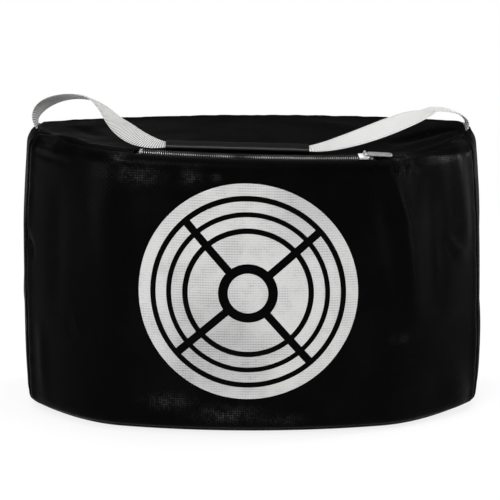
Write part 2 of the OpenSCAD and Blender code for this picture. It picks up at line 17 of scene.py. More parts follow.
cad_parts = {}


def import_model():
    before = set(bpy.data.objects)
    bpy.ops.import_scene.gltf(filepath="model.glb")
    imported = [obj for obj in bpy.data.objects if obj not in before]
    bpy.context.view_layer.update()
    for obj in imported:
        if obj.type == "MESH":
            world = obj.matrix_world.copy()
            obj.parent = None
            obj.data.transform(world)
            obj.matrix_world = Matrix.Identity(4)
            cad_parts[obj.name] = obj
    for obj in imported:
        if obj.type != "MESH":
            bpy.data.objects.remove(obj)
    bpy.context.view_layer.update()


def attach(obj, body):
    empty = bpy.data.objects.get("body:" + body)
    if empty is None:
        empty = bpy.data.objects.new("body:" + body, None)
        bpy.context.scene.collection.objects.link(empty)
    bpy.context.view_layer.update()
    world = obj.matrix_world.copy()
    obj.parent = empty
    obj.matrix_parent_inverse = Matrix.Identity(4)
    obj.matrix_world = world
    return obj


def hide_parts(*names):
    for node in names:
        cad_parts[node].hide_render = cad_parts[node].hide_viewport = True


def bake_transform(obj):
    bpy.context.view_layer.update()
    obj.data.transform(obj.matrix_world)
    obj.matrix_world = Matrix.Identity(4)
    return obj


log = logging.getLogger("strike_bag")

MM = 0.001
Array = np.ndarray
Piece = bpy.types.Object
Look = bpy.types.Material


class Half(Enum):
    """One of two, by a sign."""

    @property
    def word(self) -> str:
        """Its name in the names of pieces."""
        return self.name.lower()


class Side(Half):
    """The two ends of the bag, as the sign of x."""

    LEFT = -1
    RIGHT = 1


class Row(Half):
    """The two halves of the zip, as the sign of the way up the slope of the seam."""

    FRONT = -1
    REAR = 1


class Pile(Enum):
    """Surface of a towel, by the name of the record's slot for its finish."""

    BLUE = "towel_blue"
    CREAM = "towel_cream"


# ---- small tools ----


def ease(value: Array, low: float, high: float) -> Array:
    """Smooth step of value from 0 at low to 1 at high."""
    share = np.clip((value - low) / (high - low), 0.0, 1.0)
    return share * share * (3 - 2 * share)


def bell(value: Any, middle: float, width: float) -> Any:
    """1 where the value is at the middle, falling softly to 0 past a width from it."""
    return np.exp(-(((value - middle) / width) ** 2))


def lump(points: Array, pitch: float, seed: float) -> Array:
    """Soft noise from -1 to 1 at each of the points, with bumps about pitch apart.

    Args:
        points: places, in metres, with the coordinates along the last axis.
        pitch: distance between bumps.
        seed: shift of the noise, so that two patterns differ.

    Returns:
        One number for each place.
    """
    flat = points.reshape(-1, 3) / pitch + seed
    values = [noise.noise(Vector(place)) for place in flat]
    return np.array(values).reshape(points.shape[:-1])


def off_line(points: Array, start: Array, end: Array) -> tuple[Array, Array]:
    """Where each of the points has its nearest place on a line, and its way from there.

    Args:
        points: places, with the coordinates along the last axis.
        start: the line's start.
        end: the line's end.

    Returns:
        The share of the line up to the nearest place, and the vector from it to the point.
    """
    line = end - start
    share = np.clip(((points - start) @ line) / (line @ line), 0, 1)
    return share, points - start - share[..., None] * line


def waver(run: Array, pitch: float, *seeds: float) -> Array:
    """Soft noise from -1 to 1 along a run, with bumps about pitch apart; seeds shift it."""
    return np.array([noise.noise(Vector((value / pitch, *seeds))) for value in run])


def unit(vector: Array) -> Array:
    """The vector, or each of some, at a length of one."""
    return vector / np.linalg.norm(vector, axis=-1, keepdims=True)


def bezier(arc: Sequence[Array], t: Array) -> tuple[Array, Array]:
    """Places and directions at some shares of the Bezier curve of four points.

    Args:
        arc: the four points.
        t: the shares, one to a row.

    Returns:
        The places and the directions, a row for each share.
    """
    s = 1 - t
    place = s**3 * arc[0] + 3 * s * s * t * arc[1] + 3 * s * t * t * arc[2] + t**3 * arc[3]
    way = s * s * (arc[1] - arc[0]) + 2 * s * t * (arc[2] - arc[1]) + t * t * (arc[3] - arc[2])
    return place, unit(way)


def graded(length: float, fine: float, coarse: float, growth: float = 1.25) -> list[float]:
    """Distances from 0 to length whose steps grow from fine at the start to coarse.

    Args:
        length: the last distance.
        fine: the first step.
        coarse: the largest step.
        growth: how much each step is longer than the one before.

    Returns:
        The distances, in rising order.
    """
    steps, step, total = [0.0], fine, 0.0
    while total < length:
        total += step
        steps.append(total)
        step = min(step * growth, coarse)
    return [value * length / steps[-1] for value in steps]


def both_ends(length: float, fine: float, coarse: float) -> list[float]:
    """Shares from 0 to 1 of a length, with fine steps at both ends and coarse ones between."""
    half = graded(length / 2, fine, coarse)
    return [s / length for s in half] + [1 - s / length for s in reversed(half[:-1])]


# ---- shader tools ----


def adds(operation: str, turned: bool = False) -> Callable[..., "Wire"]:
    """A method of Wire that adds one Math node.

    Args:
        operation: the Math node's operation.
        turned: True puts the wire after the other number.

    Returns:
        The method.
    """

    def method(wire: "Wire", *others: Any) -> "Wire":
        """Adds the node to a wire and the other numbers or wires."""
        operands = enumerate([*others, wire] if turned else [wire, *others])
        return wire.maker.node("ShaderNodeMath", {"operation": operation}, dict(operands))

    return method


class Wire:
    """A number in a material's nodes. Python's operators on it add the Math nodes."""

    __add__ = __radd__ = adds("ADD")
    __sub__, __rsub__ = adds("SUBTRACT"), adds("SUBTRACT", turned=True)
    __mul__ = __rmul__ = adds("MULTIPLY")
    __truediv__, __rtruediv__ = adds("DIVIDE"), adds("DIVIDE", turned=True)
    __pow__, __mod__, __abs__ = adds("POWER"), adds("FLOORED_MODULO"), adds("ABSOLUTE")
    sine, whole, larger = adds("SINE"), adds("FLOOR"), adds("MAXIMUM")

    def __init__(self, maker: "Shader", socket: bpy.types.NodeSocket) -> None:
        """Wraps one output socket."""
        self.maker = maker
        self.socket = socket

    def wave(self) -> "Wire":
        """The sine, of this number in half turns, without its sign: one rounded hump a unit."""
        return abs((self * math.pi).sine())

    def between(
        self, low: float, high: float, to_low: float = 0.0, to_high: float = 1.0
    ) -> "Wire":
        """Smooth step from to_low at low to to_high at high.

        Args:
            low: where the step starts.
            high: where it ends.
            to_low: its value before it starts.
            to_high: its value after it ends.

        Returns:
            The step's value.
        """
        return self.maker.node(
            "ShaderNodeMapRange",
            {"interpolation_type": "SMOOTHSTEP"},
            {"Value": self, "From Min": low, "From Max": high, "To Min": to_low, "To Max": to_high},
        )

    def blend(self, zero: Any, one: Any) -> "Wire":
        """Two numbers mixed by this one."""
        mixed = {0: self, 2: zero, 3: one}
        return self.maker.node("ShaderNodeMix", {"data_type": "FLOAT"}, mixed)

    def tint(self, zero: Any, one: Any) -> "Wire":
        """Two colours mixed by this number."""
        mixed = {0: self, 6: zero, 7: one}
        return self.maker.node("ShaderNodeMix", {"data_type": "RGBA"}, mixed, output=2)


class Shader:
    """The nodes of one material, or of the room, which all come from the method node."""

    def __init__(self, owner: Look | bpy.types.World) -> None:
        """Starts with no nodes.

        Args:
            owner: the material or the room.
        """
        self.owner = owner
        owner.use_nodes = True
        self.tree = owner.node_tree
        self.tree.nodes.clear()

    @classmethod
    def named(cls, name: str) -> "Shader":
        """Starts an empty material."""
        return cls(bpy.data.materials.new(name))

    def node(
        self,
        kind: str,
        settings: dict[str, Any] | None = None,
        sockets: dict[Any, Any] | None = None,
        output: Any = 0,
    ) -> Wire:
        """Adds one node.

        Args:
            kind: the node's type.
            settings: its settings, set before its sockets.
            sockets: what its inputs get, by name or number: a value or a wire.
            output: the output that is returned.

        Returns:
            The wire of that output.
        """
        made = self.tree.nodes.new(kind)
        for key, value in (settings or {}).items():
            setattr(made, key, value)
        for key, value in (sockets or {}).items():
            if isinstance(value, Wire):
                self.tree.links.new(value.socket, made.inputs[key])
            else:
                made.inputs[key].default_value = value
        return Wire(self, made.outputs[output])

    def where(self, cut: bool = False) -> Wire:
        """The place on the object, or on the cut cloth, in metres.

        Args:
            cut: True for the cut cloth.

        Returns:
            The place.
        """
        if cut:
            return self.node("ShaderNodeUVMap", {"uv_map": "cut"})
        return self.node("ShaderNodeTexCoord", output="Object")

    def parts(self, place: Wire) -> list[Wire]:
        """The three numbers of a place."""
        made = self.node("ShaderNodeSeparateXYZ", None, {0: place}).socket.node
        return [Wire(self, socket) for socket in made.outputs]

    def rays(self) -> list[Wire]:
        """Three numbers that are 1 on a camera, glossy or transmission ray, and 0 on others.

        Returns:
            The three numbers.
        """
        outputs = self.node("ShaderNodeLightPath").socket.node.outputs
        kinds = ("Is Camera Ray", "Is Glossy Ray", "Is Transmission Ray")
        return [Wire(self, outputs[kind]) for kind in kinds]

    def spots(self, scale: float, detail: float = 2.0, cut: bool = False) -> Wire:
        """Cloudy noise from 0 to 1, scale to the metre, on the object or on the cut cloth."""
        sockets = {"Vector": self.where(cut), "Scale": scale, "Detail": detail, "Roughness": 0.55}
        return self.node("ShaderNodeTexNoise", None, sockets)

    def chance(self, first: Wire, second: Wire) -> Wire:
        """A number from 0 to 1 that is the same all over one cell of two whole numbers."""
        cell = self.node("ShaderNodeCombineXYZ", None, {0: first, 1: second})
        return self.node("ShaderNodeTexWhiteNoise", {"noise_dimensions": "3D"}, {"Vector": cell})

    def worn(self, mark: str = "rubbed") -> Wire:
        """How much a place has of a mark, from the piece's own attribute: wear, painted highlights
        and painted glints.
        """
        return self.node("ShaderNodeAttribute", {"attribute_name": mark}, None, output="Fac")

    def bump(
        self, height: Wire, distance: float, strength: float, under: Wire | None = None
    ) -> Wire:
        """A Bump node for a height from 0 to 1 that stands distance high.

        Args:
            height: the height.
            distance: how far its top stands out, in metres.
            strength: how strongly it shows, from 0 to 1.
            under: the bump that it lies on.

        Returns:
            The bumped direction of the face.
        """
        sockets = {"Height": height, "Distance": distance, "Strength": strength}
        if under is not None:
            sockets["Normal"] = under
        return self.node("ShaderNodeBump", None, sockets)

    def surface(self, **sockets: Any) -> Look:
        """Closes the material with one shader.

        Args:
            sockets: what the shader's sockets get, with _ for a space in their names.

        Returns:
            The finished material.
        """
        named = {key.replace("_", " "): value for key, value in sockets.items()}
        shader = self.node("ShaderNodeBsdfPrincipled", None, named, output="BSDF")
        return self.close(shader)

    def close(self, shader: Wire) -> Look:
        """Joins a shader to the output.

        Args:
            shader: the shader.

        Returns:
            The finished material or room.
        """
        kind = "World" if isinstance(self.owner, bpy.types.World) else "Material"
        end = self.tree.nodes.new(f"ShaderNodeOutput{kind}")
        self.tree.links.new(shader.socket, end.inputs["Surface"])
        return self.owner


def grey(value: float) -> tuple[float, float, float, float]:
    """An even grey."""
    return (value, value, value, 1.0)


# ---- finishes ----


@dataclass(frozen=True)
class CoatedCloth:
    """Black cloth woven of flat tapes under a glossy coating."""

    name: str = "coated_cloth_black"
    tape: float = 2.4 * MM
    gloss: float = 0.27
    depth: float = 0.16 * MM
    black: float = 0.0011
    dust: float = 0.0034
    shine: float = 0.014

    def weave(self, shader: Shader) -> tuple[Wire, Wire]:
        """Height of the woven tapes under the coating, and how each tape's turn differs, 0 to 1.

        Args:
            shader: the material's nodes.

        Returns:
            The height and the chance.
        """
        along, up, _ = shader.parts(shader.where(cut=True))
        column, row = along / self.tape, up / self.tape
        over = (column.whole() + row.whole()) % 2
        crest = over.blend(column.wave(), row.wave()) ** 0.7
        return crest, shader.chance(column.whole(), row.whole())

    def make(self) -> Look:
        """Builds the material.

        Returns:
            The material.
        """
        shader = Shader.named(self.name)
        crest, chance = self.weave(shader)
        cloud = shader.spots(16.0, 3.0)
        fine = shader.spots(900.0, 2.0, cut=True)
        rubbed, bright = shader.worn(), shader.worn("bright")
        dull = self.gloss + 0.16 * cloud.between(0.35, 0.75) + 0.10 * (1 - crest) + 0.14 * rubbed
        dusty = cloud.between(0.45, 0.8) * 0.4 + rubbed * 0.6
        colour = dusty.tint(grey(self.black), grey(self.dust))
        # painted glint: in the bright patches the crests of the tapes are painted lighter, under a
        # real coat
        glint = bright * crest.between(0.5, 0.95) * chance.between(0.0, 0.75, 0.25, 1.0)
        colour = glint.tint(colour, grey(0.021))
        coating = shader.bump(fine, 0.05 * MM, 0.25)
        return shader.surface(
            Base_Color=colour,
            Roughness=dull,
            Specular_IOR_Level=self.shine,
            Coat_Weight=glint * 0.5,
            Coat_Roughness=0.22,
            Normal=shader.bump(crest, self.depth, 0.55, coating),
        )


@dataclass(frozen=True)
class PrintInk:
    """Light grey ink laid over the coated cloth, with the tapes showing through in rows."""

    grey: float = 0.425
    tape: float = 2.6 * MM
    low_left: tuple[float, float] = (-34 * MM, -56 * MM)
    high_right: tuple[float, float] = (55 * MM, 82 * MM)

    def make(self) -> Look:
        """Builds the material.

        Returns:
            The material.
        """
        shader = Shader.named("target_ink_grey")
        along, up, _ = shader.parts(shader.where(cut=True))
        rows = (up / self.tape).wave() ** 0.8
        columns = (along / self.tape).wave() ** 0.8
        crest = rows * 0.75 + columns * 0.25
        cloud = shader.spots(22.0, 4.0)
        speck = shader.spots(420.0, 3.0)
        thin = (speck.between(0.56, 0.72) * 0.5 + cloud.between(0.50, 0.8) * 0.5) * 0.5
        # painted shade in two places, where the print's sheen falls darker: low on the left and
        # high on the right
        low_left, high_right = (
            ((along - x) ** 2 + (up - y) ** 2) ** 0.5 for x, y in (self.low_left, self.high_right)
        )
        low = low_left.between(0.02, 0.075, 0.4, 0.0) + high_right.between(0.01, 0.05, 0.3, 0.0)
        patch = shader.spots(34.0, 3.0).between(0.42, 0.62, 0.35, 1.0)
        # the print is painted darker between the rows of tapes, painted shade in the weave
        shade = (thin + (1 - crest) * 0.85 * patch + low).tint(
            (self.grey * 1.14, self.grey * 1.14, self.grey * 1.13, 1.0), grey(self.grey * 0.5)
        )
        return shader.surface(
            Base_Color=shade,
            Roughness=0.42 + 0.12 * (1 - crest) + 0.08 * cloud,
            Specular_IOR_Level=0.3,
            Normal=shader.bump(crest, 0.14 * MM, 0.5, shader.bump(speck, 0.04 * MM, 0.3)),
        )


@dataclass(frozen=True)
class Webbing:
    """Light grey polyester webbing: cross ribs between two plain edges."""

    rib: float = 2.1 * MM
    cord: float = 1.25 * MM
    width: float = 25 * MM
    selvedge: float = 1.6 * MM
    grey: float = 0.80
    dull_x: tuple[float, float] = (-90 * MM, -40 * MM)

    def make(self) -> Look:
        """Builds the material.

        Returns:
            The material.
        """
        shader = Shader.named("webbing_light_grey")
        along, across, _ = shader.parts(shader.where(cut=True))
        rib = (along / self.rib).wave() ** 1.15
        cord = (across / self.cord + (along / self.rib).whole() * 0.5).wave()
        edge = abs(abs(across) - (self.width / 2 - self.selvedge)).between(0.25 * MM, 0.6 * MM)
        pile = rib * (0.78 + 0.22 * cord)
        hair = shader.spots(1500.0, 2.0)
        soil = shader.spots(30.0, 3.0).between(0.55, 0.85) * 0.22
        # the left of the handle is painted a little darker than the right, painted shade
        dull = shader.parts(shader.where())[0].between(*self.dull_x, 0.2, 0.0)
        # painted shade: the grooves between the ribs and beside the selvedges are painted darker;
        # the soil is dirt
        deep = (1 - pile) * 1.05 + (1 - edge) * 0.12 + soil + dull
        colour = deep.tint(
            (self.grey, self.grey, self.grey * 0.985, 1.0), (0.12, 0.12, 0.118, 1.0)
        )
        relief = pile * 0.75 + edge * 0.25
        return shader.surface(
            Base_Color=colour,
            Roughness=0.72 + 0.12 * hair,
            Specular_IOR_Level=0.3,
            Sheen_Weight=0.15,
            Normal=shader.bump(relief, 0.32 * MM, 0.75, shader.bump(hair, 0.05 * MM, 0.4)),
        )


@dataclass(frozen=True)
class GripCloth:
    """Black coated sleeve of the grip, finely ribbed along its length."""

    rib: float = 1.1 * MM

    def make(self) -> Look:
        """Builds the material.

        Returns:
            The material.
        """
        shader = Shader.named("grip_sleeve_black")
        across = shader.parts(shader.where(cut=True))[1]
        rib = (across / self.rib).wave() ** 0.6
        grain = shader.spots(1100.0, 2.0, cut=True)
        # the sleeve's mark is a painted highlight line along its top front edge; the grain is the
        # cloth's own tone
        rubbed = shader.worn()
        colour = (rubbed * 0.95 + grain.between(0.5, 0.8) * 0.05).tint(grey(0.0010), grey(0.055))
        return shader.surface(
            Base_Color=colour,
            Roughness=0.33 + 0.15 * (1 - rib) + 0.1 * grain,
            Specular_IOR_Level=0.06,
            Normal=shader.bump(rib, 0.10 * MM, 0.45, shader.bump(grain, 0.05 * MM, 0.4)),
        )


@dataclass(frozen=True)
class WovenTape:
    """Black polyester tape in a herringbone, for the zip and the seam bindings."""

    pitch: float = 1.2 * MM

    def make(self) -> Look:
        """Builds the material.

        Returns:
            The material.
        """
        shader = Shader.named("woven_tape_black")
        along, across, _ = shader.parts(shader.where(cut=True))
        turn = abs((across / (4 * self.pitch)) % 1 - 0.5)
        twill = (along / self.pitch + turn * 4).wave() ** 0.8
        hair = shader.spots(1800.0, 2.0)
        # the crests of the twill are painted lighter, a painted highlight; the hair is the fibres'
        # own tone
        colour = (twill * 0.7 + hair * 0.3).tint(grey(0.003), grey(0.011))
        return shader.surface(
            Base_Color=colour,
            Roughness=0.74 + 0.1 * hair,
            Specular_IOR_Level=0.18,
            Normal=shader.bump(twill, 0.15 * MM, 0.6),
        )


@dataclass(frozen=True)
class DarkMetal:
    """Dark nickel plate on zinc, with light scratches, and lighter where the piece's mark is
    strong: wear, and painted highlights.
    """

    name: str = "zip_metal_dark"
    plate: float = 0.42
    bare: float = 0.9
    bright: float = 0.5
    metal: float = 0.6

    def make(self) -> Look:
        """Builds the material.

        Returns:
            The material.
        """
        shader = Shader.named(self.name)
        scratch = shader.spots(700.0, 4.0)
        cloud = shader.spots(90.0, 2.0)
        rubbed = shader.worn()
        lines, clouds = scratch.between(0.52, 0.70), cloud.between(0.4, 0.8)
        bare = (rubbed * 0.85 + lines * self.bright + clouds * 0.1).between(0.0, 1.0)
        colour = bare.tint(grey(self.plate), (self.bare, self.bare, self.bare * 0.98, 1.0))
        return shader.surface(
            Base_Color=colour,
            Metallic=self.metal,
            Roughness=0.36 + 0.2 * scratch,
            Normal=shader.bump(scratch, 0.03 * MM, 0.3),
        )


@dataclass(frozen=True)
class SewingThread:
    """Twisted black thread, painted lighter on the crowns of its twist, a painted highlight."""

    twist: float = 0.7 * MM

    def make(self) -> Look:
        """Builds the material.

        Returns:
            The material.
        """
        shader = Shader.named("sewing_thread_black")
        along, across, _ = shader.parts(shader.where())
        ply = (along / self.twist + across / self.twist).wave()
        colour = ply.tint(grey(0.006), grey(0.03))
        return shader.surface(
            Base_Color=colour,
            Roughness=0.55,
            Specular_IOR_Level=0.3,
            Normal=shader.bump(ply, 0.08 * MM, 0.6),
        )


@dataclass(frozen=True)
class Terry:
    """Looped cotton towelling."""

    pile: Pile
    colour: tuple[float, float, float]

    def make(self) -> Look:
        """Builds the material.

        Returns:
            The material.
        """
        shader = Shader.named(f"terry_{self.pile.value}")
        loops = shader.node(
            "ShaderNodeTexVoronoi",
            {"feature": "F1"},
            {"Vector": shader.where(), "Scale": 520.0},
        )
        cloud = shader.spots(30.0, 3.0)
        # the hollows between the loops are painted darker, painted shade; the cloud is uneven tone
        deep = loops.between(0.1, 0.7) * 0.5 + cloud.between(0.4, 0.8) * 0.3
        dark = tuple(0.55 * value for value in self.colour)
        return shader.surface(
            Base_Color=deep.tint((*self.colour, 1.0), (*dark, 1.0)),
            Roughness=0.92,
            Specular_IOR_Level=0.15,
            Sheen_Weight=0.4,
            Normal=shader.bump(1 - loops, 1.2 * MM, 0.8),
        )


@dataclass(frozen=True)
class StudioFloor:
    """White floor that keeps the soft shadow of what stands on it."""

    white: float = 0.93
    glow: float = 0.80

    def make(self) -> Look:
        """Builds the material.

        Returns:
            The material.
        """
        shader = Shader.named("studio_floor")
        camera, glossy, through = shader.rays()
        seen = camera.larger(glossy).larger(through)
        away = shader.node(
            "ShaderNodeVectorMath", {"operation": "LENGTH"}, {0: shader.where()}, output=1
        )
        glow = away.between(0.36, 1.1, self.glow, 1.0)
        grain = shader.spots(6.0, 2.0)
        tone = grain.tint(grey(self.white), grey(self.white * 0.985))
        matt = shader.node("ShaderNodeBsdfDiffuse", None, {"Color": tone})
        light = shader.node("ShaderNodeEmission", None, {"Color": grey(1.0), "Strength": 1.0})
        mixed = shader.node("ShaderNodeMixShader", None, {0: seen * glow, 1: matt, 2: light})
        return shader.close(mixed)


# ---- the skin ----


@dataclass(frozen=True)
class BagSkin:
    """The bag's skin as a function of place, level and depth under the cloth's face.

    The place, u, runs round the bag from the front left seam: 0 to 1 the front, 1 to 2 the right
    gusset, 2 to 3 the back, 3 to 4 the left gusset. The level, w, runs up it: 0 to 1 the bottom,
    1 to 2 the rounded foot, 2 to 3 the wall, 3 to 4 the shoulder, 4 to 5 the top. The depth, t, is
    counted inwards from the cloth's face, and z is a height over the floor.
    """

    width: float = 480 * MM
    depth: float = 210 * MM
    height: float = 282 * MM
    front_r: float = 600 * MM
    middle_w: float = 268 * MM
    front_depth: float = 101 * MM
    foot_depth: float = 86 * MM
    front_lean: float = 15 * MM
    belly_h: float = 85 * MM
    top_draw: float = 7 * MM
    foot_draw: float = 2 * MM
    front_seam_in: float = 8 * MM
    back_seam_in: float = 3 * MM
    side_bulge: float = 5 * MM
    back_bulge: float = 10 * MM
    foot_r: float = 16 * MM
    shoulder_r: float = 14 * MM
    seam_turn: float = math.radians(70)
    crown: float = 1.5 * MM
    back_rise: float = 10 * MM
    back_sag: float = 7 * MM
    plateau_y: float = -60 * MM
    settle: float = math.radians(1.6)
    settle_power: int = 3
    back_level: float = 1.25
    middle: tuple[float, float] = (0.0, 10 * MM)
    cloth: float = 1.2 * MM
    zip_length: float = 225 * MM
    zip_x: float = 4.5 * MM
    zip_opening: float = 9.6 * MM
    stop_len: float = 3 * MM
    hair: float = 0.2 * MM
    clear: float = 0.3 * MM
    strap_w: float = 25 * MM
    strap_t: float = 1.8 * MM
    anchor_y: float = 58 * MM
    slit_slope: float = 0.012
    mouth_slope: float = 0.004

    @property
    def half_w(self) -> float:
        """Half the bag's width."""
        return self.width / 2

    @property
    def back_y(self) -> float:
        """Furthest place of the back."""
        return self.depth / 2

    @property
    def bow_y(self) -> float:
        """Middle of the front's bow."""
        return self.front_r - self.depth / 2

    @property
    def bow_turn(self) -> float:
        """Turn of the bow at the end of its round middle part."""
        return math.asin(self.middle_w / 2 / self.front_r)

    @property
    def wall_h(self) -> float:
        """Height of the straight wall between foot and shoulder."""
        return self.height - self.foot_r - self.shoulder_r

    @property
    def seam_in(self) -> float:
        """How far the top seam stands in from the wall."""
        return self.shoulder_r * (1 - math.cos(self.seam_turn))

    @property
    def seam_z(self) -> float:
        """Height of the top seam."""
        return self.height - self.shoulder_r * (1 - math.sin(self.seam_turn))

    @property
    def zip_r(self) -> float:
        """Radius of the zip's line about the middle of the bow."""
        return float(self.bow(self.seam_z, self.seam_in))

    @property
    def zip_half(self) -> float:
        """Half of the zip's turn."""
        return self.zip_length / 2 / self.zip_r

    @property
    def zip_mid(self) -> float:
        """Turn of the zip's middle."""
        return math.asin(self.zip_x / self.zip_r)

    @property
    def stop_turn(self) -> float:
        """Turn that one end stop takes."""
        return (self.hair + self.stop_len) / self.zip_r

    @property
    def mouth_half(self) -> float:
        """Half of the turn between the ends of the zip's opening."""
        return self.zip_half + 2 * self.stop_turn

    @property
    def zip_lean(self) -> float:
        """How much the zip's ring leans to the side."""
        return math.atan(math.tan(self.settle) * self.settled_share(self.seam_z))

    @property
    def slit(self) -> tuple[float, float]:
        """Places on a gusset between which its strap end goes in.

        Returns:
            The front place and the back place.
        """
        front = self.front_seam(self.seam_z, self.seam_in)[1]
        back = self.back_seam(self.seam_z, self.seam_in)[1]
        reach = self.strap_w / 2 + self.hair
        ends = (self.anchor_y - reach, self.anchor_y + reach)
        return tuple(float((y - front) / (back - front)) for y in ends)

    def lean(self, z: Array) -> Array:
        """How far the front leans back at a height."""
        return self.front_lean * ((z - self.belly_h) / (self.height - self.belly_h)) ** 2

    def draw_in(self, z: Array) -> Array:
        """How far the sides draw in at a height."""
        share = 2 * z / self.height - 1
        return np.where(share > 0, self.top_draw, self.foot_draw) * share**2

    def bow(self, z: Array, t: Array) -> Array:
        """Radius of the front's bow."""
        return self.front_r - self.lean(z) - t

    def front_seam(self, z: Array, t: Array) -> tuple[Array, Array]:
        """Place in plan of the right front seam.

        Args:
            z: the height.
            t: the depth.

        Returns:
            Its x and y.
        """
        run = self.foot_depth + (self.front_depth - self.foot_depth) * z / self.height
        return (
            self.half_w - self.front_seam_in - self.draw_in(z) - t,
            run - self.depth / 2 + self.lean(z) + t,
        )

    def back_seam(self, z: Array, t: Array) -> tuple[Array, Array]:
        """Place in plan of the right back seam.

        Args:
            z: the height.
            t: the depth.

        Returns:
            Its x and y.
        """
        draw = self.draw_in(z)
        return (
            self.half_w - self.back_seam_in - draw - t,
            self.back_y - self.back_bulge - draw - t,
        )

    def front_point(self, s: Array, z: Array, t: Array) -> tuple[Array, Array]:
        """Place in plan on the front, at share s from left to right.

        Args:
            s: the share.
            z: the height.
            t: the depth.

        Returns:
            Its x and y.
        """
        seam_x, seam_y = self.front_seam(z, t)
        x, r, turn = (2 * s - 1) * seam_x, self.bow(z, t), self.bow_turn
        end_x, end_y = r * math.sin(turn), self.bow_y - r * math.cos(turn)
        past, run = np.maximum(0, np.abs(x) - end_x), seam_x - end_x
        rest = seam_y - end_y - run * math.tan(turn)
        round_y = self.bow_y - np.sqrt(np.maximum(r * r - x * x, 0))
        bent_y = end_y + past * math.tan(turn) + rest * (past / run) ** 2
        return x, np.where(past > 0, bent_y, round_y)

    def side_point(self, s: Array, z: Array, t: Array) -> tuple[Array, Array]:
        """Place in plan on the right gusset, at share s from front to back."""
        (fx, fy), (bx, by) = self.front_seam(z, t), self.back_seam(z, t)
        return fx + s * (bx - fx) + 4 * self.side_bulge * s * (1 - s), fy + s * (by - fy)

    def back_point(self, s: Array, z: Array, t: Array) -> tuple[Array, Array]:
        """Place in plan on the back, at share s from right to left."""
        (bx, by), q = self.back_seam(z, t), 1 - 2 * s
        return bx * q, by + self.back_bulge * (1 - np.abs(q) ** 3)

    def outline(self, u: Array, z: Array, t: Array) -> tuple[Array, Array]:
        """Place in plan at any place round the bag.

        Args:
            u: the place.
            z: the height.
            t: the depth.

        Returns:
            Its x and y.
        """
        v = np.mod(u, 4.0)
        front, right = self.front_point(v, z, t), self.side_point(v - 1, z, t)
        back, left = self.back_point(v - 2, z, t), self.side_point(4 - v, z, t)
        parts = [v <= 1, v <= 2, v <= 3]
        return (
            np.select(parts, [front[0], right[0], back[0]], -left[0]),
            np.select(parts, [front[1], right[1], back[1]], left[1]),
        )

    def level(self, w: Array, t: Array) -> tuple[Array, Array, Array]:
        """Inset, height and share of the outline at a level.

        Args:
            w: the level.
            t: the depth.

        Returns:
            How far the outline stands in, its height, and its size against the full outline.
        """
        turn = np.where(w < 2, w - 1, w - 3) * math.pi / 2
        foot, shoulder = self.foot_r - t, self.shoulder_r - t
        parts = [w < 1, w < 2, w < 3, w < 4]
        inset = [
            self.foot_r + 0 * t,
            self.foot_r - foot * np.sin(turn),
            t + 0 * w,
            self.shoulder_r - shoulder * np.cos(turn),
        ]
        height = [
            t + 0 * w,
            self.foot_r - foot * np.cos(turn),
            self.foot_r + (w - 2) * self.wall_h,
            self.height - self.shoulder_r + shoulder * np.sin(turn),
        ]
        top = self.height - t + self.crown * (1 - (5 - w) ** 2)
        share = np.where(w < 1, w, np.where(w > 4, 5 - w, 1.0))
        inset = np.select(parts, inset, self.shoulder_r + 0 * t)
        return inset, np.select(parts, height, top), share

    def settled_share(self, z: Array) -> Array:
        """Share of the top's lift that a height takes on."""
        return (z / self.height) ** self.settle_power

    def top_lift(self, x: Array, y: Array) -> Array:
        """How far the filling lifts or drops the top at a place in plan.

        Args:
            x: places from side to side.
            y: places from front to back.

        Returns:
            The lift at each place, below 0 where the top drops.
        """
        q = np.maximum(0, y - self.plateau_y) / (self.back_y - self.plateau_y)
        rise = q * q * (self.back_rise - self.back_sag * (x / self.half_w) ** 2)
        return rise - math.tan(self.settle) * x * (1 - self.back_level * q)

    def settled(self, x: Array, y: Array, z: Array) -> Array:
        """A place after the filling has settled."""
        return np.stack([x, y, z + self.top_lift(x, y) * self.settled_share(z)], axis=-1)

    def at(self, u: Any, w: Any, t: Any = 0.0) -> Array:
        """The place on the skin at a place round the bag, a level and a depth.

        Args:
            u: the place.
            w: the level.
            t: the depth.

        Returns:
            The places in space, along the last axis.
        """
        u, w, t = np.broadcast_arrays(*(np.asarray(v, float) for v in (u, w, t)))
        inset, height, share = self.level(w, t)
        x, y = self.outline(u, np.minimum(height, self.height), inset)
        mx, my = self.middle
        return self.settled(mx + share * (x - mx), my + share * (y - my), height)

    def seam_level(self, s: Any) -> Array:
        """Level at a distance above the top seam, along the cloth.

        Args:
            s: the distance, below 0 under the seam.

        Returns:
            The level.
        """
        s = np.asarray(s, float)
        arc = self.shoulder_r * math.pi / 2
        low = arc * self.seam_turn / (math.pi / 2)
        high = arc - low
        flat = self.middle[1] - self.shoulder_r + self.back_y
        return np.where(
            s < -low,
            3 + (s + low) / self.wall_h,
            np.where(s > high, 4 + (s - high) / flat, 3 + (s + low) / arc),
        )

    def foot_level(self, s: Any) -> Array:
        """Level at a distance above the seam of the foot, along the cloth.

        Args:
            s: the distance, below 0 under the seam.

        Returns:
            The level.
        """
        s = np.asarray(s, float)
        arc = self.foot_r * math.pi / 4
        flat = self.middle[1] - self.foot_r + self.back_y
        low = np.where(s < -arc, 1 + (s + arc) / flat, 1.5 + s / (2 * arc))
        return np.where(s > arc, 2 + (s - arc) / self.wall_h, low)

    def front_place(self, turn: float) -> float:
        """Place on the front at a turn of the zip's ring."""
        reach = float(self.front_seam(self.seam_z, self.seam_in)[0])
        return 0.5 + self.zip_r * math.sin(turn) / reach / 2

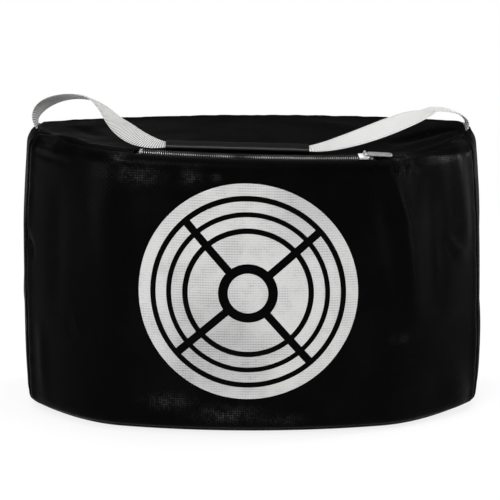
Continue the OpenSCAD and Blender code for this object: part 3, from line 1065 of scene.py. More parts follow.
    def zip_frame(self, turn: float) -> Matrix:
        """Where x runs along the zip to the right, y up the slope and z out of the cloth.

        Args:
            turn: the turn on the zip's ring, about the middle of the bow.

        Returns:
            The frame, with its origin on the ring.
        """
        lean = (
            Matrix.Translation((0, 0, self.seam_z))
            @ Matrix.Rotation(self.zip_lean, 4, "Y")
            @ Matrix.Translation((0, 0, -self.seam_z))
        )
        return (
            lean
            @ Matrix.Translation((0, self.bow_y, 0))
            @ Matrix.Rotation(turn, 4, "Z")
            @ Matrix.Translation((0, -self.zip_r, self.seam_z))
            @ Matrix.Rotation(math.pi / 2 - self.seam_turn, 4, "X")
        )

    def seam_back(self, u: Array) -> Array:
        """How far the panels' edges stand back from the top seam.

        Args:
            u: the places round the bag.

        Returns:
            The distance at each place, 0 where no zip or strap goes through.
        """

        def hole(v: Array, low: float, high: float, slope: float) -> Array:
            """1 between two places and 0 past a slope beside them."""
            return ease(v, low - slope, low) * ease(-v, -high - slope, -high)

        ends = (self.front_place(self.zip_mid + way * self.mouth_half) for way in (-1, 1))
        v = np.mod(u, 4.0)
        slit = hole(np.where(v > 3, 4 - v, v - 1), *self.slit, self.slit_slope)
        slit = slit * ((v > 1) & (v < 2) | (v > 3))
        opening = hole(v, *ends, self.mouth_slope) * self.zip_opening / 2
        return opening + slit * (self.strap_t / 2 + self.hair)


@dataclass(frozen=True)
class Fold:
    """One soft fold of the cloth, a ridge or, below zero, a dent, along a line."""

    start: tuple[float, float, float]
    end: tuple[float, float, float]
    width: float
    height: float

    def lift(self, points: Array) -> Array:
        """How far the fold lifts each of the points; its two flanks dip a little.

        Args:
            points: places on the skin.

        Returns:
            The lift at each point.
        """
        share, away = off_line(points, *(np.array(end) * MM for end in (self.start, self.end)))
        q = (away**2).sum(-1) / (self.width * MM) ** 2
        taper = 0.35 + 0.65 * np.sin(math.pi * np.clip(share, 0.02, 0.98)) ** 0.6
        return self.height * MM * taper * (1 - 0.45 * q) * np.exp(-q)


@dataclass(frozen=True)
class Gleam:
    """A patch of painted glints, where the crests of the woven tapes under the coating are painted
    lighter.
    """

    place: tuple[float, float, float]
    reach: tuple[float, float]
    strength: float = 1.0

    def at(self, points: Array) -> Array:
        """How bright each of the points is, from 0 to 1.

        Args:
            points: places on the skin.

        Returns:
            The brightness at each point.
        """
        away = (points - np.array(self.place) * MM) / MM
        flat = np.hypot(away[..., 0], away[..., 1]) / self.reach[0]
        return self.strength * np.exp(-(flat**2) - (away[..., 2] / self.reach[1]) ** 2)


@dataclass(frozen=True)
class Slack:
    """How the cloth stands off its smooth shape: lumps of the filling, seams, puckers and folds."""

    skin: BagSkin
    folds: tuple[Fold, ...]
    gleams: tuple[Gleam, ...]
    lumps: float = 0.9 * MM
    groove: float = 1.0 * MM
    welt: float = 0.7 * MM
    welt_at: float = 4.5 * MM
    pucker: float = 0.55 * MM
    deepest: float = 3.6 * MM
    sewn_corners: tuple[float, ...] = (0.0, 1.0, 2.0, 3.0)

    def _seam(self, away: Array, base: Array) -> Array:
        """Height of a seam: a groove between two soft welts, puckered along its length.

        Args:
            away: how far each place is from the seam.
            base: the places on the skin.

        Returns:
            The height at each place.
        """
        line = -self.groove * bell(away, 0.0, 1.5 * MM)
        welt = self.welt * bell(away, self.welt_at, 3 * MM)
        wave = lump(base, 13 * MM, 3.7) + 0.5 * lump(base, 6 * MM, 8.1)
        return line + welt + self.pucker * wave * bell(away, 0.0, 13 * MM)

    def at(self, u: Array, w: Array) -> tuple[Array, dict[str, Array]]:
        """How far the cloth stands out of the smooth skin.

        Args:
            u: places round the bag.
            w: levels.

        Returns:
            The height over the skin, and for each place its wear on welts and crests and its
            painted glint, from 0 to 1.
        """
        skin = self.skin
        base = skin.at(u, w)
        seam_w = float(skin.seam_level(0.0))
        top = np.linalg.norm(base - skin.at(u, seam_w), axis=-1)
        foot = np.linalg.norm(base - skin.at(u, 1.5), axis=-1)
        side = np.full(base.shape[:-1], 1.0)
        wall_w = np.clip(w, 1.0, 4.0)
        for corner in self.sewn_corners:
            side = np.minimum(side, np.linalg.norm(base - skin.at(corner, wall_w), axis=-1))
        side = np.where((w > 1.5) & (w < seam_w), side, side + 8 * MM)
        lift = self.lumps * (lump(base, 105 * MM, 1.3) + 0.45 * lump(base, 42 * MM, 5.9))
        lift = lift * ease(np.minimum(top, foot), 0.0, 45 * MM)
        away = np.minimum(np.minimum(top, foot), side)
        lift = lift + self._seam(away, base)
        for fold in self.folds:
            lift = lift + fold.lift(base)
        lift = lift * self._free_of_zip(base) * self._free_of_straps(base)
        on_floor = ease(base[..., 2], 0.5 * MM, 12 * MM)
        lift = np.where(lift > 0, lift * on_floor, lift * (0.25 + 0.75 * on_floor))
        lift = np.clip(lift, -self.deepest, 6 * MM)
        rubbed = bell(away, self.welt_at, 4 * MM) * 0.5
        rubbed = rubbed * (0.6 + 0.8 * lump(base, 18 * MM, 11.0))
        # the gleams mark where glints are painted into the cloth's colour
        bright = np.zeros(base.shape[:-1])
        for gleam in self.gleams:
            bright = np.maximum(bright, gleam.at(base))
        bright = bright * (0.62 + 0.75 * lump(base, 9 * MM, 6.4))
        marks = {
            "rubbed": np.clip(rubbed + ease(lift, 1.6 * MM, 4 * MM) * 0.25, 0, 1),
            "bright": np.clip(bright, 0, 1),
        }
        return lift, marks

    def _free_of_zip(self, base: Array) -> Array:
        """0 at the zip's edges, which stay on their ring, rising to 1 away from it.

        Args:
            base: places on the skin.

        Returns:
            The share at each place.
        """
        skin = self.skin
        turn = np.arctan2(base[..., 0], skin.bow_y - base[..., 1])
        turn = np.clip(turn, skin.zip_mid - skin.mouth_half, skin.zip_mid + skin.mouth_half)
        ring = np.stack(
            [
                skin.zip_r * np.sin(turn),
                skin.bow_y - skin.zip_r * np.cos(turn),
                skin.seam_z - math.tan(skin.zip_lean) * skin.zip_r * np.sin(turn),
            ],
            axis=-1,
        )
        return ease(np.linalg.norm(base - ring, axis=-1), 5.5 * MM, 17 * MM)

    def _free_of_straps(self, base: Array) -> Array:
        """0 at the slits that hold the strap ends, rising to 1 away from them.

        Args:
            base: places on the skin.

        Returns:
            The share at each place.
        """
        skin, free = self.skin, np.ones(base.shape[:-1])
        seam_w = float(skin.seam_level(0.0))
        for ends in (tuple(1 + s for s in skin.slit), tuple(4 - s for s in skin.slit)):
            away = off_line(base, *(skin.at(end, seam_w) for end in ends))[1]
            free = free * ease(np.linalg.norm(away, axis=-1), 1.2 * MM, 8 * MM)
        return free


# ---- making meshes ----


def piece_from(
    name: str,
    points: Array,
    faces: list[tuple[int, ...]],
    cut: Array,
    marks: dict[str, Array] | None = None,
) -> Piece:
    """Makes a piece of faces, with its unwrapped places and its marks of wear and painted light.

    Args:
        name: the piece's name.
        points: its corners.
        faces: its faces, counter-clockwise from outside.
        cut: each corner's place on the flat cloth, in metres.
        marks: each corner's wear, painted highlight and painted glint, from 0 to 1, by the name of
            the mark.

    Returns:
        The piece, at the origin.
    """
    mesh = bpy.data.meshes.new(name)
    mesh.from_pydata(points.tolist(), [], faces)
    corner = np.zeros(len(mesh.loops), int)
    mesh.loops.foreach_get("vertex_index", corner)
    layer = mesh.uv_layers.new(name="cut")
    layer.data.foreach_set("uv", cut[corner].astype(np.float32).ravel())
    for mark, values in (marks or {"rubbed": np.zeros(len(points))}).items():
        wear = mesh.attributes.new(mark, "FLOAT", "POINT")
        wear.data.foreach_set("value", values.astype(np.float32))
    mesh.update()
    made = bpy.data.objects.new(name, mesh)
    bpy.context.scene.collection.objects.link(made)
    return made


def smooth(piece: Piece, degrees: float = 38.0) -> Piece:
    """Shades a piece smooth, except over edges sharper than an angle.

    Args:
        piece: the piece.
        degrees: the sharpest edge that is still shaded smooth.

    Returns:
        The piece.
    """
    only(piece)
    bpy.ops.object.shade_smooth_by_angle(angle=math.radians(degrees))
    return piece


def only(piece: Piece) -> None:
    """Selects one piece and nothing else, and makes it the active one.

    Args:
        piece: the piece.
    """
    bpy.ops.object.select_all(action="DESELECT")
    piece.select_set(True)
    bpy.context.view_layer.objects.active = piece


def shell(
    name: str, outer: Array, inner: Array, cut: Array, marks: dict[str, Array] | None = None,
    ring: bool = False, hub: tuple[Array, Array, Array] | None = None,
) -> Piece:
    """A closed sheet between two grids of places, columns first.

    Args:
        name: the piece's name.
        outer: the grid of its outer face.
        inner: the grid of its inner face.
        cut: the grid of places on the flat cloth.
        marks: the grid of each mark, of wear and of painted light.
        ring: True closes the last column on the first.
        hub: outer and inner place, and place on the cloth, of a point that closes the last row.

    Returns:
        The piece.
    """
    n, m = outer.shape[:2]
    points = [outer.reshape(-1, 3), inner.reshape(-1, 3)]
    cuts = [cut.reshape(-1, 2)] * 2
    if hub:
        points += [hub[0][None], hub[1][None]]
        cuts += [hub[2][None]] * 2
    end = np.zeros(2 if hub else 0)
    marks = marks or {"rubbed": np.zeros((n, m))}
    wear = {key: np.concatenate([grid.ravel(), grid.ravel(), end]) for key, grid in marks.items()}
    size = n * m
    faces: list[tuple[int, ...]] = []
    for i in range(n if ring else n - 1):
        a, b = i * m, ((i + 1) % n) * m
        for j in range(m - 1):
            faces.append((a + j, b + j, b + j + 1, a + j + 1))
            faces.append((size + a + j, size + a + j + 1, size + b + j + 1, size + b + j))
        faces.append((a, size + a, size + b, b))
        e, f = a + m - 1, b + m - 1
        if hub:
            faces.append((e, f, 2 * size))
            faces.append((size + f, size + e, 2 * size + 1))
        else:
            faces.append((f, size + f, size + e, e))
    if not ring:
        last = (n - 1) * m
        for j in range(m - 1):
            faces.append((j, j + 1, size + j + 1, size + j))
            k = last + j
            faces.append((k + 1, k, size + k, size + k + 1))
    return piece_from(name, np.concatenate(points), faces, np.concatenate(cuts), wear)


def run_of(places: Array) -> Array:
    """Length of the path up to each of its places."""
    steps = np.linalg.norm(np.diff(places, axis=0), axis=-1)
    return np.concatenate([[0], np.cumsum(steps)])


def flat_cut(grid: Array) -> Array:
    """Places on the flat cloth for a grid: lengths along its middle row and along its columns.

    Args:
        grid: places on the cloth, columns first.

    Returns:
        Each place on the flat cloth, in metres.
    """
    along = run_of(grid[:, grid.shape[1] // 2])
    rise = np.linalg.norm(np.diff(grid, axis=1), axis=-1)
    up = np.concatenate([np.zeros((len(grid), 1)), np.cumsum(rise, axis=1)], axis=1)
    return np.stack([np.broadcast_to(along[:, None], up.shape), up], axis=-1)


def finish(piece: Piece, look: Look, slot: str, body: str | None, *nodes: str) -> None:
    """Gives a piece its finish and says what it belongs to.

    Args:
        piece: the piece.
        look: its material.
        slot: the record's slot that its finish is in; not used.
        body: the body that it rides on, or None where it bends between two.
        nodes: the nodes that it stands for.
    """
    maps = piece.data.uv_layers
    for unused in [name for name in maps.keys() if name != "cut"]:
        maps.remove(maps[unused])
    piece.data.materials.clear()
    piece.data.materials.append(look)
    if body:
        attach(piece, body)
    if nodes:
        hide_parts(*nodes)
    area = sum(face.area for face in piece.data.polygons) / 2
    log.info("%s: %d faces, %.4f m2 a side", piece.name, len(piece.data.polygons), area)


@dataclass
class Assembly:
    """A part of the bag, which builds its pieces round the skin and then dresses them."""

    skin: BagSkin
    pieces: dict[str, Piece] = field(default_factory=dict, kw_only=True)

    def build(self) -> None:
        """Makes the pieces, each under the name of its node."""
        raise NotImplementedError

    def dress(self) -> None:
        """Gives the pieces their finish and says what they belong to."""
        raise NotImplementedError


# ---- the cloth bag ----


@dataclass
class ClothBag(Assembly):
    """The six sewn panels of the bag."""

    slack: Slack
    thick: float = 1.0 * MM
    fine: float = 0.7 * MM
    coarse: float = 2.6 * MM
    rim: float = 0.03

    def _wall_levels(self) -> Callable[[Array], Array]:
        """Levels of a wall panel for any place round the bag, fine at both seams.

        Returns:
            A function that turns places round the bag into rows of levels.
        """
        skin = self.skin
        length = skin.foot_r * math.pi / 4 + skin.wall_h + skin.shoulder_r * skin.seam_turn
        half = np.array(graded(length / 2, self.fine, self.coarse))

        def levels(u: Array) -> Array:
            """Levels at each of the places, one row for each place.

            Args:
                u: the places.

            Returns:
                The rows of levels.
            """
            back = skin.seam_back(u)[:, None]
            low = np.broadcast_to(skin.foot_level(half)[None], (len(u), len(half)))
            high = skin.seam_level(-(back + half[None] * (1 - back / (length / 2))))
            return np.concatenate([low, high[:, ::-1][:, 1:]], axis=1)

        return levels

    def _wall(self, name: str, first: float, width: float) -> Piece:
        """Makes one wall panel.

        Args:
            name: the piece's name.
            first: the place where the panel starts.
            width: the panel's length round the bag.

        Returns:
            The panel.
        """
        u = first + np.array(both_ends(width, self.fine, self.coarse))
        w = self._wall_levels()(np.clip(u, first + 1e-6, first + 1 - 1e-6))
        # a place of 4 would be read as 0, the front's first
        u = np.broadcast_to(np.minimum(u, 4.0 - 1e-9)[:, None], w.shape)
        outer, inner, marks = self._faces(u, w)
        return smooth(shell(name, outer, inner, flat_cut(outer), marks))

    def _faces(self, u: Array, w: Array) -> tuple[Array, Array, dict[str, Array]]:
        """Outer and inner face of a panel, kept over the floor, and its marks of wear and painted
        glint.

        Args:
            u: the grid of places.
            w: the grid of levels.

        Returns:
            The two grids of places in space, and the grid of each mark.
        """
        lift, marks = self.slack.at(u, w)
        faces = [self.skin.at(u, w, t - lift) for t in (0.0, self.thick)]
        for face, depth in zip(faces, (0.0, self.thick)):
            face[..., 2] = np.maximum(face[..., 2], depth)
        return *faces, marks

    def _end(self, name: str, levels: Array, hub: float) -> Piece:
        """Makes the top or bottom panel, which closes on its middle.

        Args:
            name: the piece's name.
            levels: levels of its rows, from its edge to its middle, a row for each place.
            hub: the level of its middle.

        Returns:
            The panel.
        """
        u = self._ring()
        grid = np.broadcast_to(u[:, None], levels.shape)
        outer, inner, marks = self._faces(grid, levels)
        lift = self.slack.at(np.array([0.5]), np.array([hub]))[0][0]
        tip, under = (self.skin.at(0.5, hub, t - lift) for t in (0.0, self.thick))
        cut = outer[..., :2]
        if hub == 0.0:
            outer, inner, cut = (face[::-1] for face in (outer, inner, cut))
            marks = {key: mark[::-1] for key, mark in marks.items()}
        return smooth(shell(name, outer, inner, cut, marks, ring=True, hub=(tip, under, tip[:2])))

    def _ring(self) -> Array:
        """Places right round the bag, fine at the corners.

        Returns:
            The places, in order.
        """
        steps = (self.fine * 1.3, self.coarse * 1.3)
        widths = enumerate((0.520, 0.115, 0.480, 0.115))
        return np.concatenate([np.array(both_ends(width, *steps))[:-1] + k for k, width in widths])

    def build(self) -> None:
        """Makes the panels."""
        skin = self.skin
        walls = (
            ("front_panel", "bag_front", 0.530),
            ("right_gusset", "bag_gusset_right", 0.115),
            ("back_panel", "bag_back", 0.480),
            ("left_gusset", "bag_gusset_left", 0.115),
        )
        for k, (node, name, width) in enumerate(walls):
            self.pieces[node] = self._wall(name, float(k), width)
        u = self._ring()
        reach = skin.middle[1] - skin.shoulder_r + skin.back_y + 4 * MM
        rows, foot_rows = (
            np.array(graded(reach, self.fine, coarse))[:-2] for coarse in (4 * MM, 6 * MM)
        )
        top = skin.seam_level(skin.seam_back(u)[:, None] + rows[None])
        self.pieces["top_panel"] = self._end("bag_top", np.minimum(top, 5 - self.rim), 5.0)
        foot = np.maximum(skin.foot_level(-foot_rows), self.rim)
        foot = np.broadcast_to(foot[None], (len(u), len(foot)))
        self.pieces["bottom_panel"] = self._end("bag_bottom", foot, 0.0)

    def dress(self) -> None:
        """Gives the panels their cloth and says what each was cut from."""
        look, side = CoatedCloth().make(), CoatedCloth("coated_cloth_side", gloss=0.48).make()
        for node, panel in self.pieces.items():
            finish(panel, side if "gusset" in node else look, "coated_cloth", "root", node)


# ---- the print ----


@dataclass
class RingTarget(Assembly):
    """The printed bullseye, a thin film that follows the folds of the front."""

    slack: Slack
    centre: tuple[float, float] = (-3.5 * MM, 148 * MM)
    outer_r: float = 109 * MM
    ring_1_in: float = 97 * MM
    ring_2: tuple[float, float] = (81 * MM, 91.5 * MM)
    ring_3: tuple[float, float] = (65 * MM, 76 * MM)
    sector: tuple[float, float] = (29.5 * MM, 59.5 * MM)
    spot_r: float = 20 * MM
    spoke_w: float = 8 * MM
    spoke_turn: float = math.radians(-4)
    over: float = 0.45 * MM
    film: float = 0.25 * MM
    step: float = 2.2 * MM

    def _place(self, radius: Array, turn: Array, depth: float) -> Array:
        """A place on the print, a depth under its face.

        Args:
            radius: the distance from the print's middle.
            turn: the angle from the right.
            depth: the depth under its face.

        Returns:
            The place in space.
        """
        skin = self.skin
        z = self.centre[1] + radius * np.sin(turn)
        angle = (self.centre[0] + radius * np.cos(turn)) / skin.bow(z, 0.0)
        x = skin.bow(z, 0.0) * np.sin(angle)
        u = 0.5 + x / skin.front_seam(z, 0.0)[0] / 2
        w = 2 + (z - skin.foot_r) / skin.wall_h
        lift, _ = self.slack.at(u, w)
        return skin.at(u, w, -lift - self.over + depth)

    def _patch(self, radii: tuple[float, float], start: float, turn: float) -> Piece:
        """Makes one printed patch.

        Args:
            radii: its inner and outer radius.
            start: where it starts, as an angle from the right.
            turn: how far it goes round; short of a full turn, its ends are cut along the spokes.

        Returns:
            The patch.
        """
        low, high = radii
        full = turn >= 2 * math.pi
        rings = max(2, round((high - low) / self.step) + 1)
        columns = max(8, round(high * turn / self.step))
        radius = np.linspace(low, high, rings)[None].repeat(columns + (not full), 0)
        trim = 0.0 if full else np.arcsin(self.spoke_w / 2 / np.maximum(radius, 1e-4))
        share = np.arange(columns + (not full))[:, None] / columns
        angle = start + trim + (turn - 2 * trim) * share
        face, under = (self._place(radius, angle, depth) for depth in (0.0, self.film))
        cut = np.stack([radius * np.cos(angle), radius * np.sin(angle)], axis=-1)
        # the angle grows counter-clockwise, so the rows run inwards to face the front
        face, under, cut = (grid[:, ::-1] for grid in (face, under, cut))
        return shell("patch", face, under, cut, ring=full)

    def build(self) -> None:
        """Makes every patch and joins them."""
        whole = 2 * math.pi
        patches = [self._patch((self.ring_1_in, self.outer_r), 0.0, whole)]
        for k in range(4):
            start = self.spoke_turn - math.pi / 4 + k * math.pi / 2
            for radii in (self.ring_2, self.ring_3, self.sector):
                patches.append(self._patch(radii, start, math.pi / 2))
        patches.append(self._patch((0.3 * MM, self.spot_r), 0.0, whole))
        self.pieces["target_print"] = smooth(join("target_film", patches), 50)

    def dress(self) -> None:
        """Gives the print its ink."""
        for node, piece in self.pieces.items():
            finish(piece, PrintInk().make(), "printed_grey", "root", node)


def join(name: str, parts: list[Piece]) -> Piece:
    """Joins parts into one piece under a name.

    Args:
        name: the name.
        parts: the parts, whose meshes become one.

    Returns:
        The piece.
    """
    bpy.ops.object.select_all(action="DESELECT")
    for part in parts:
        part.select_set(True)
    bpy.context.view_layer.objects.active = parts[0]
    bpy.ops.object.join()
    made = bpy.context.view_layer.objects.active
    made.name = made.data.name = name
    return made


# ---- solid pieces, as by hand ----


def rest_cursor() -> None:
    """Leaves edit mode with nothing selected."""
    if bpy.context.object and bpy.context.object.mode == "EDIT":
        bpy.ops.object.mode_set(mode="OBJECT")
    bpy.ops.object.select_all(action="DESELECT")


def block(
    name: str, size: Sequence[float], centre: Sequence[float], bevel: float, rounds: int = 2
) -> Piece:
    """A box with eased edges.

    Args:
        name: the piece's name.
        size: its length, width and height.
        centre: its middle.
        bevel: width of the eased edges.
        rounds: faces across each eased edge.

    Returns:
        The box.
    """
    rest_cursor()
    bpy.ops.mesh.primitive_cube_add(size=1.0, location=centre)
    made = bpy.context.object
    bpy.ops.object.mode_set(mode="EDIT")
    bpy.ops.mesh.select_all(action="SELECT")
    bpy.ops.transform.resize(value=tuple(size), center_override=tuple(centre))
    bpy.ops.mesh.bevel(offset=bevel, segments=rounds, affect="EDGES")
    bpy.ops.object.mode_set(mode="OBJECT")
    made.name = made.data.name = name
    settle(made)
    return made


def rod(
    name: str,
    radius: float,
    length: float,
    centre: Sequence[float],
    axis: str,
    bevel: float,
    sides: int = 20,
) -> Piece:
    """A round bar with eased ends.

    Args:
        name: the piece's name.
        radius: its radius.
        length: its length.
        centre: its middle.
        axis: X, Y or Z, the way it lies.
        bevel: width of its eased ends.
        sides: how many flats stand for its round side.

    Returns:
        The bar.
    """
    rest_cursor()
    turn = {"X": (0, math.pi / 2, 0), "Y": (math.pi / 2, 0, 0), "Z": (0, 0, 0)}[axis]
    bpy.ops.mesh.primitive_cylinder_add(
        vertices=sides, radius=radius, depth=length, location=centre, rotation=turn
    )
    made = bpy.context.object
    made.name = made.data.name = name
    settle(made)
    bpy.ops.object.mode_set(mode="EDIT")
    bpy.ops.mesh.select_all(action="DESELECT")
    bpy.ops.object.mode_set(mode="OBJECT")
    for edge in made.data.edges:
        ends = [made.data.vertices[v].co["XYZ".index(axis)] for v in edge.vertices]
        edge.select = abs(ends[0] - ends[1]) < 1e-7
    bpy.ops.object.mode_set(mode="EDIT")
    bpy.ops.mesh.select_mode(type="EDGE")
    bpy.ops.mesh.bevel(offset=bevel, segments=2, affect="EDGES")
    bpy.ops.object.mode_set(mode="OBJECT")
    return made


def settle(piece: Piece) -> None:
    """Puts a piece's place, turn and size into its mesh."""
    only(piece)
    bpy.ops.object.transform_apply(location=True, rotation=True, scale=True)


def carve(piece: Piece, tool: Piece, operation: str = "DIFFERENCE") -> None:
    """Cuts a tool away from a piece, or fuses it with the piece, and removes the tool.

    Args:
        piece: the piece.
        tool: what is cut away or fused.
        operation: the Boolean modifier's operation.
    """
    only(piece)
    cutter = piece.modifiers.new("carve", "BOOLEAN")
    cutter.object, cutter.operation, cutter.solver = tool, operation, "EXACT"
    bpy.ops.object.modifier_apply(modifier=cutter.name)
    bpy.data.objects.remove(tool)


def fuse(name: str, parts: list[Piece]) -> Piece:
    """Fuses overlapping parts into one solid under a name.

    Args:
        name: the name of the joined solid.
        parts: the parts, which the first takes in.

    Returns:
        The solid.
    """
    for part in parts[1:]:
        carve(parts[0], part, "UNION")
    parts[0].name = parts[0].data.name = name
    return parts[0]


def place_in(piece: Piece, frame: Matrix) -> Piece:
    """Moves a piece's mesh from the origin into a frame.

    Args:
        piece: the piece.
        frame: where its origin and axes go.

    Returns:
        The piece.
    """
    piece.data.transform(frame)
    piece.data.update()
    return piece


def repeat(name: str, model: Piece, frames: list[Matrix]) -> Piece:
    """Joins copies of a model, one in each frame, under a name, and removes the model.

    Args:
        name: the name.
        model: what is copied.
        frames: where each copy stands.

    Returns:
        The joined piece.
    """
    copies = []
    for frame in frames:
        copy = model.copy()
        copy.data = model.data.copy()
        bpy.context.scene.collection.objects.link(copy)
        copies.append(place_in(copy, frame))
    bpy.data.objects.remove(model)
    return join(name, copies)


def rub(piece: Piece, least: float, more: float) -> None:
    """Sets each corner's mark: the least all over as wear, and more where it faces up, a painted
    highlight on the upper faces.

    Args:
        piece: the piece.
        least: how much wear it has all over, from 0 to 1.
        more: the painted highlight that a corner facing straight up gets on top.
    """
    wear = piece.data.attributes.new("rubbed", "FLOAT", "POINT")
    for normal, value in zip(piece.data.vertex_normals, wear.data):
        value.value = least + max(0.0, normal.vector.z) * more


# ---- the zip ----


@dataclass
class TopZip(Assembly):
    """The zip along the front of the top: tapes, teeth, end stops, slider and pull."""

    pitch: float = 2.1 * MM
    row_s: float = 1.9 * MM
    teeth_d: float = 2.6 * MM
    tape_w: float = 12 * MM
    tape_t: float = 0.7 * MM
    tape_len: float = 237.5 * MM
    tape_edge: float = 0.9 * MM
    slider_len: float = 11 * MM
    plate_t: float = 1.0 * MM
    web_t: float = 0.6 * MM
    pull_len: float = 28 * MM
    pull_w: float = 6 * MM
    pull_t: float = 1.4 * MM
    lug_y: float = 2.7 * MM
    lug_t: float = 1.0 * MM
    pin_r: float = 0.8 * MM
    eye_r: float = 1.48 * MM
    droop: float = math.radians(4)

    @property
    def slider_rest(self) -> float:
        """Turn of the slider on the zip's ring when the zip is closed."""
        skin = self.skin
        return skin.zip_mid + skin.zip_half - (self.slider_len / 2 + skin.clear) / skin.zip_r

    @property
    def pin(self) -> tuple[float, float]:
        """Place of the pull's pin along the zip and over it."""
        over = self.teeth_d / 2 + self.skin.clear + self.plate_t
        return self.slider_len / 2 - 4.5 * MM, over + self.eye_r + 0.3 * MM

    def _tape(self, row: Row) -> Piece:
        """One tape, under the panel's edge and out into the opening.

        Args:
            row: which tape.

        Returns:
            The tape.
        """
        skin = self.skin
        half = skin.mouth_half - skin.clear / skin.zip_r
        low, high = (skin.front_place(skin.zip_mid + side * half) for side in (-1, 1))
        u = np.linspace(low, high, 160)[:, None]
        edge = self.tape_edge
        near, far = (edge, self.tape_w + edge) if row is Row.REAR else (-self.tape_w - edge, -edge)
        w = skin.seam_level(np.linspace(near, far, 16))[None]
        u, w = np.broadcast_arrays(u, w)
        top = skin.cloth + skin.hair
        outer, inner = skin.at(u, w, top), skin.at(u, w, top + self.tape_t)
        return smooth(shell(f"zip_cloth_{row.word}", outer, inner, flat_cut(outer)))

    def _tooth(self, row: Row) -> Piece:
        """One tooth at the origin: a base that grips the tape's edge and a rounded head.

        Args:
            row: which row it is for.

        Returns:
            The tooth.
        """
        way = row.value
        size = (0.84 * MM, 2.7 * MM, 2.3 * MM)
        tooth = block("tooth", size, (0, way * 1.85 * MM, 0), 0.22 * MM)
        for vertex in tooth.data.vertices:
            share = (way * vertex.co.y - 0.5 * MM) / size[1]
            vertex.co.x *= 1.18 - 0.42 * abs(share - 0.25) * 2
            vertex.co.z += 0.2 * MM * math.sin(math.pi * min(max(share, 0.0), 1.0))
        return tooth

    def _teeth(self, row: Row) -> Piece:
        """A row of teeth along the ring, each a copy of one tooth.

        Args:
            row: which row.

        Returns:
            The row as one piece, painted lighter where it faces forwards, a painted highlight.
        """
        skin, model = self.skin, self._tooth(row)
        shift = 0.25 if row is Row.FRONT else 0.75
        turns = [
            skin.zip_mid + ((k + shift) * self.pitch - skin.zip_length / 2) / skin.zip_r
            for k in range(int(skin.zip_length / self.pitch))
        ]
        # painted highlight: the teeth are painted lighter where they face forwards and on their
        # heads, most on the front row, and less over a stretch left of the middle
        lit = [min(max(0.15 + v.co.z / MM, 0.0), 1.0) for v in model.data.vertices]
        name = f"zip_teeth_row_{row.word}"
        teeth = repeat(name, model, [skin.zip_frame(turn) for turn in turns])
        shine = 1.9 if row is Row.FRONT else 0.3
        wear = teeth.data.attributes.new("rubbed", "FLOAT", "POINT")
        run = np.array([vertex.co.x / MM for vertex in teeth.data.vertices])
        patchy = np.maximum(0.12, 0.8 + 0.5 * waver(run, 17, 3.1, 0.4) - 0.7 * bell(run, -13, 9))
        for k, normal in enumerate(teeth.data.vertex_normals):
            rubbed = min(1.0, max(0.0, -normal.vector.y) * shine)
            wear.data[k].value = rubbed * lit[k % len(lit)] * patchy[k]
        return smooth(teeth, 45)

    def _stop(self, side: Side) -> Piece:
        """One end stop: a folded staple over both tapes' edges, with a pressed dimple.

        Args:
            side: which end of the zip.

        Returns:
            The stop.
        """
        skin = self.skin
        reach = skin.zip_half + skin.stop_turn / 2 + skin.hair / 2 / skin.zip_r
        size = (skin.stop_len, 2 * self.row_s + self.teeth_d, self.teeth_d - skin.hair)
        stop = block("stop", size, (0, 0, skin.hair / 2), 0.45 * MM, 3)
        dimple = (0, 0, size[2] / 2 + 0.35 * MM)
        carve(stop, block("dent", (1.2 * MM, 4.2 * MM, 1.0 * MM), dimple, 0.3 * MM))
        stop.name = stop.data.name = f"zip_end_stop_{side.word}"
        return smooth(place_in(stop, skin.zip_frame(skin.zip_mid + side.value * reach)), 40)

    def _slider(self) -> Piece:
        """The slider: two plates joined by a wedge, side walls, and two lugs with a pin.

        Returns:
            The slider, at the closed end of the zip.
        """
        skin, long, thick = self.skin, self.slider_len, self.plate_t
        under = self.teeth_d / 2 + skin.clear
        wall_in = self.row_s + self.teeth_d / 2 + skin.clear
        pin_x, pin_z = self.pin
        keel = -(skin.cloth + skin.hair + 0.8 * MM) - 3 * skin.clear
        face = (long, 2 * (wall_in + self.web_t), thick)
        plate = block("plate", face, (0, 0, under + thick / 2), 0.4 * MM, 3)
        for vertex in plate.data.vertices:
            taper = max(0.0, abs(vertex.co.x) - 2.5 * MM) / (long / 2 - 2.5 * MM)
            vertex.co.y *= 1 - 0.16 * taper * taper
            vertex.co.z -= 0.12 * MM * taper * taper
        parts = [plate]
        wall = (long * 0.86, self.web_t, under + thick * 0.6)
        lug = (2.9 * MM, self.lug_t, pin_z - under - thick / 2)
        for side in (-1, 1):
            lug_y = side * self.lug_y
            parts += [
                block("wall", wall, (0, side * (wall_in + self.web_t / 2), wall[2] / 2), 0.15 * MM),
                block("lug", lug, (pin_x, lug_y, pin_z - lug[2] / 2), 0.2 * MM),
                rod("eye", self.eye_r, self.lug_t, (pin_x, lug_y, pin_z), "Y", 0.2 * MM, 28),
            ]
        parts.append(rod("pin", self.pin_r, 6.4 * MM, (pin_x, 0, pin_z), "Y", 0.15 * MM))
        low, high = keel - thick, under + thick / 2
        wedge = (4 * MM, self.web_t, high - low)
        parts.append(block("wedge", wedge, (0, 0, (low + high) / 2), 0.1 * MM, 1))
        sole = (long, 2 * self.row_s + 2 * MM, thick)
        parts.append(block("keel", sole, (0, 0, keel - thick / 2), 0.35 * MM))
        slider = join("slider_body", parts)
        return smooth(place_in(slider, skin.zip_frame(self.slider_rest)), 35)

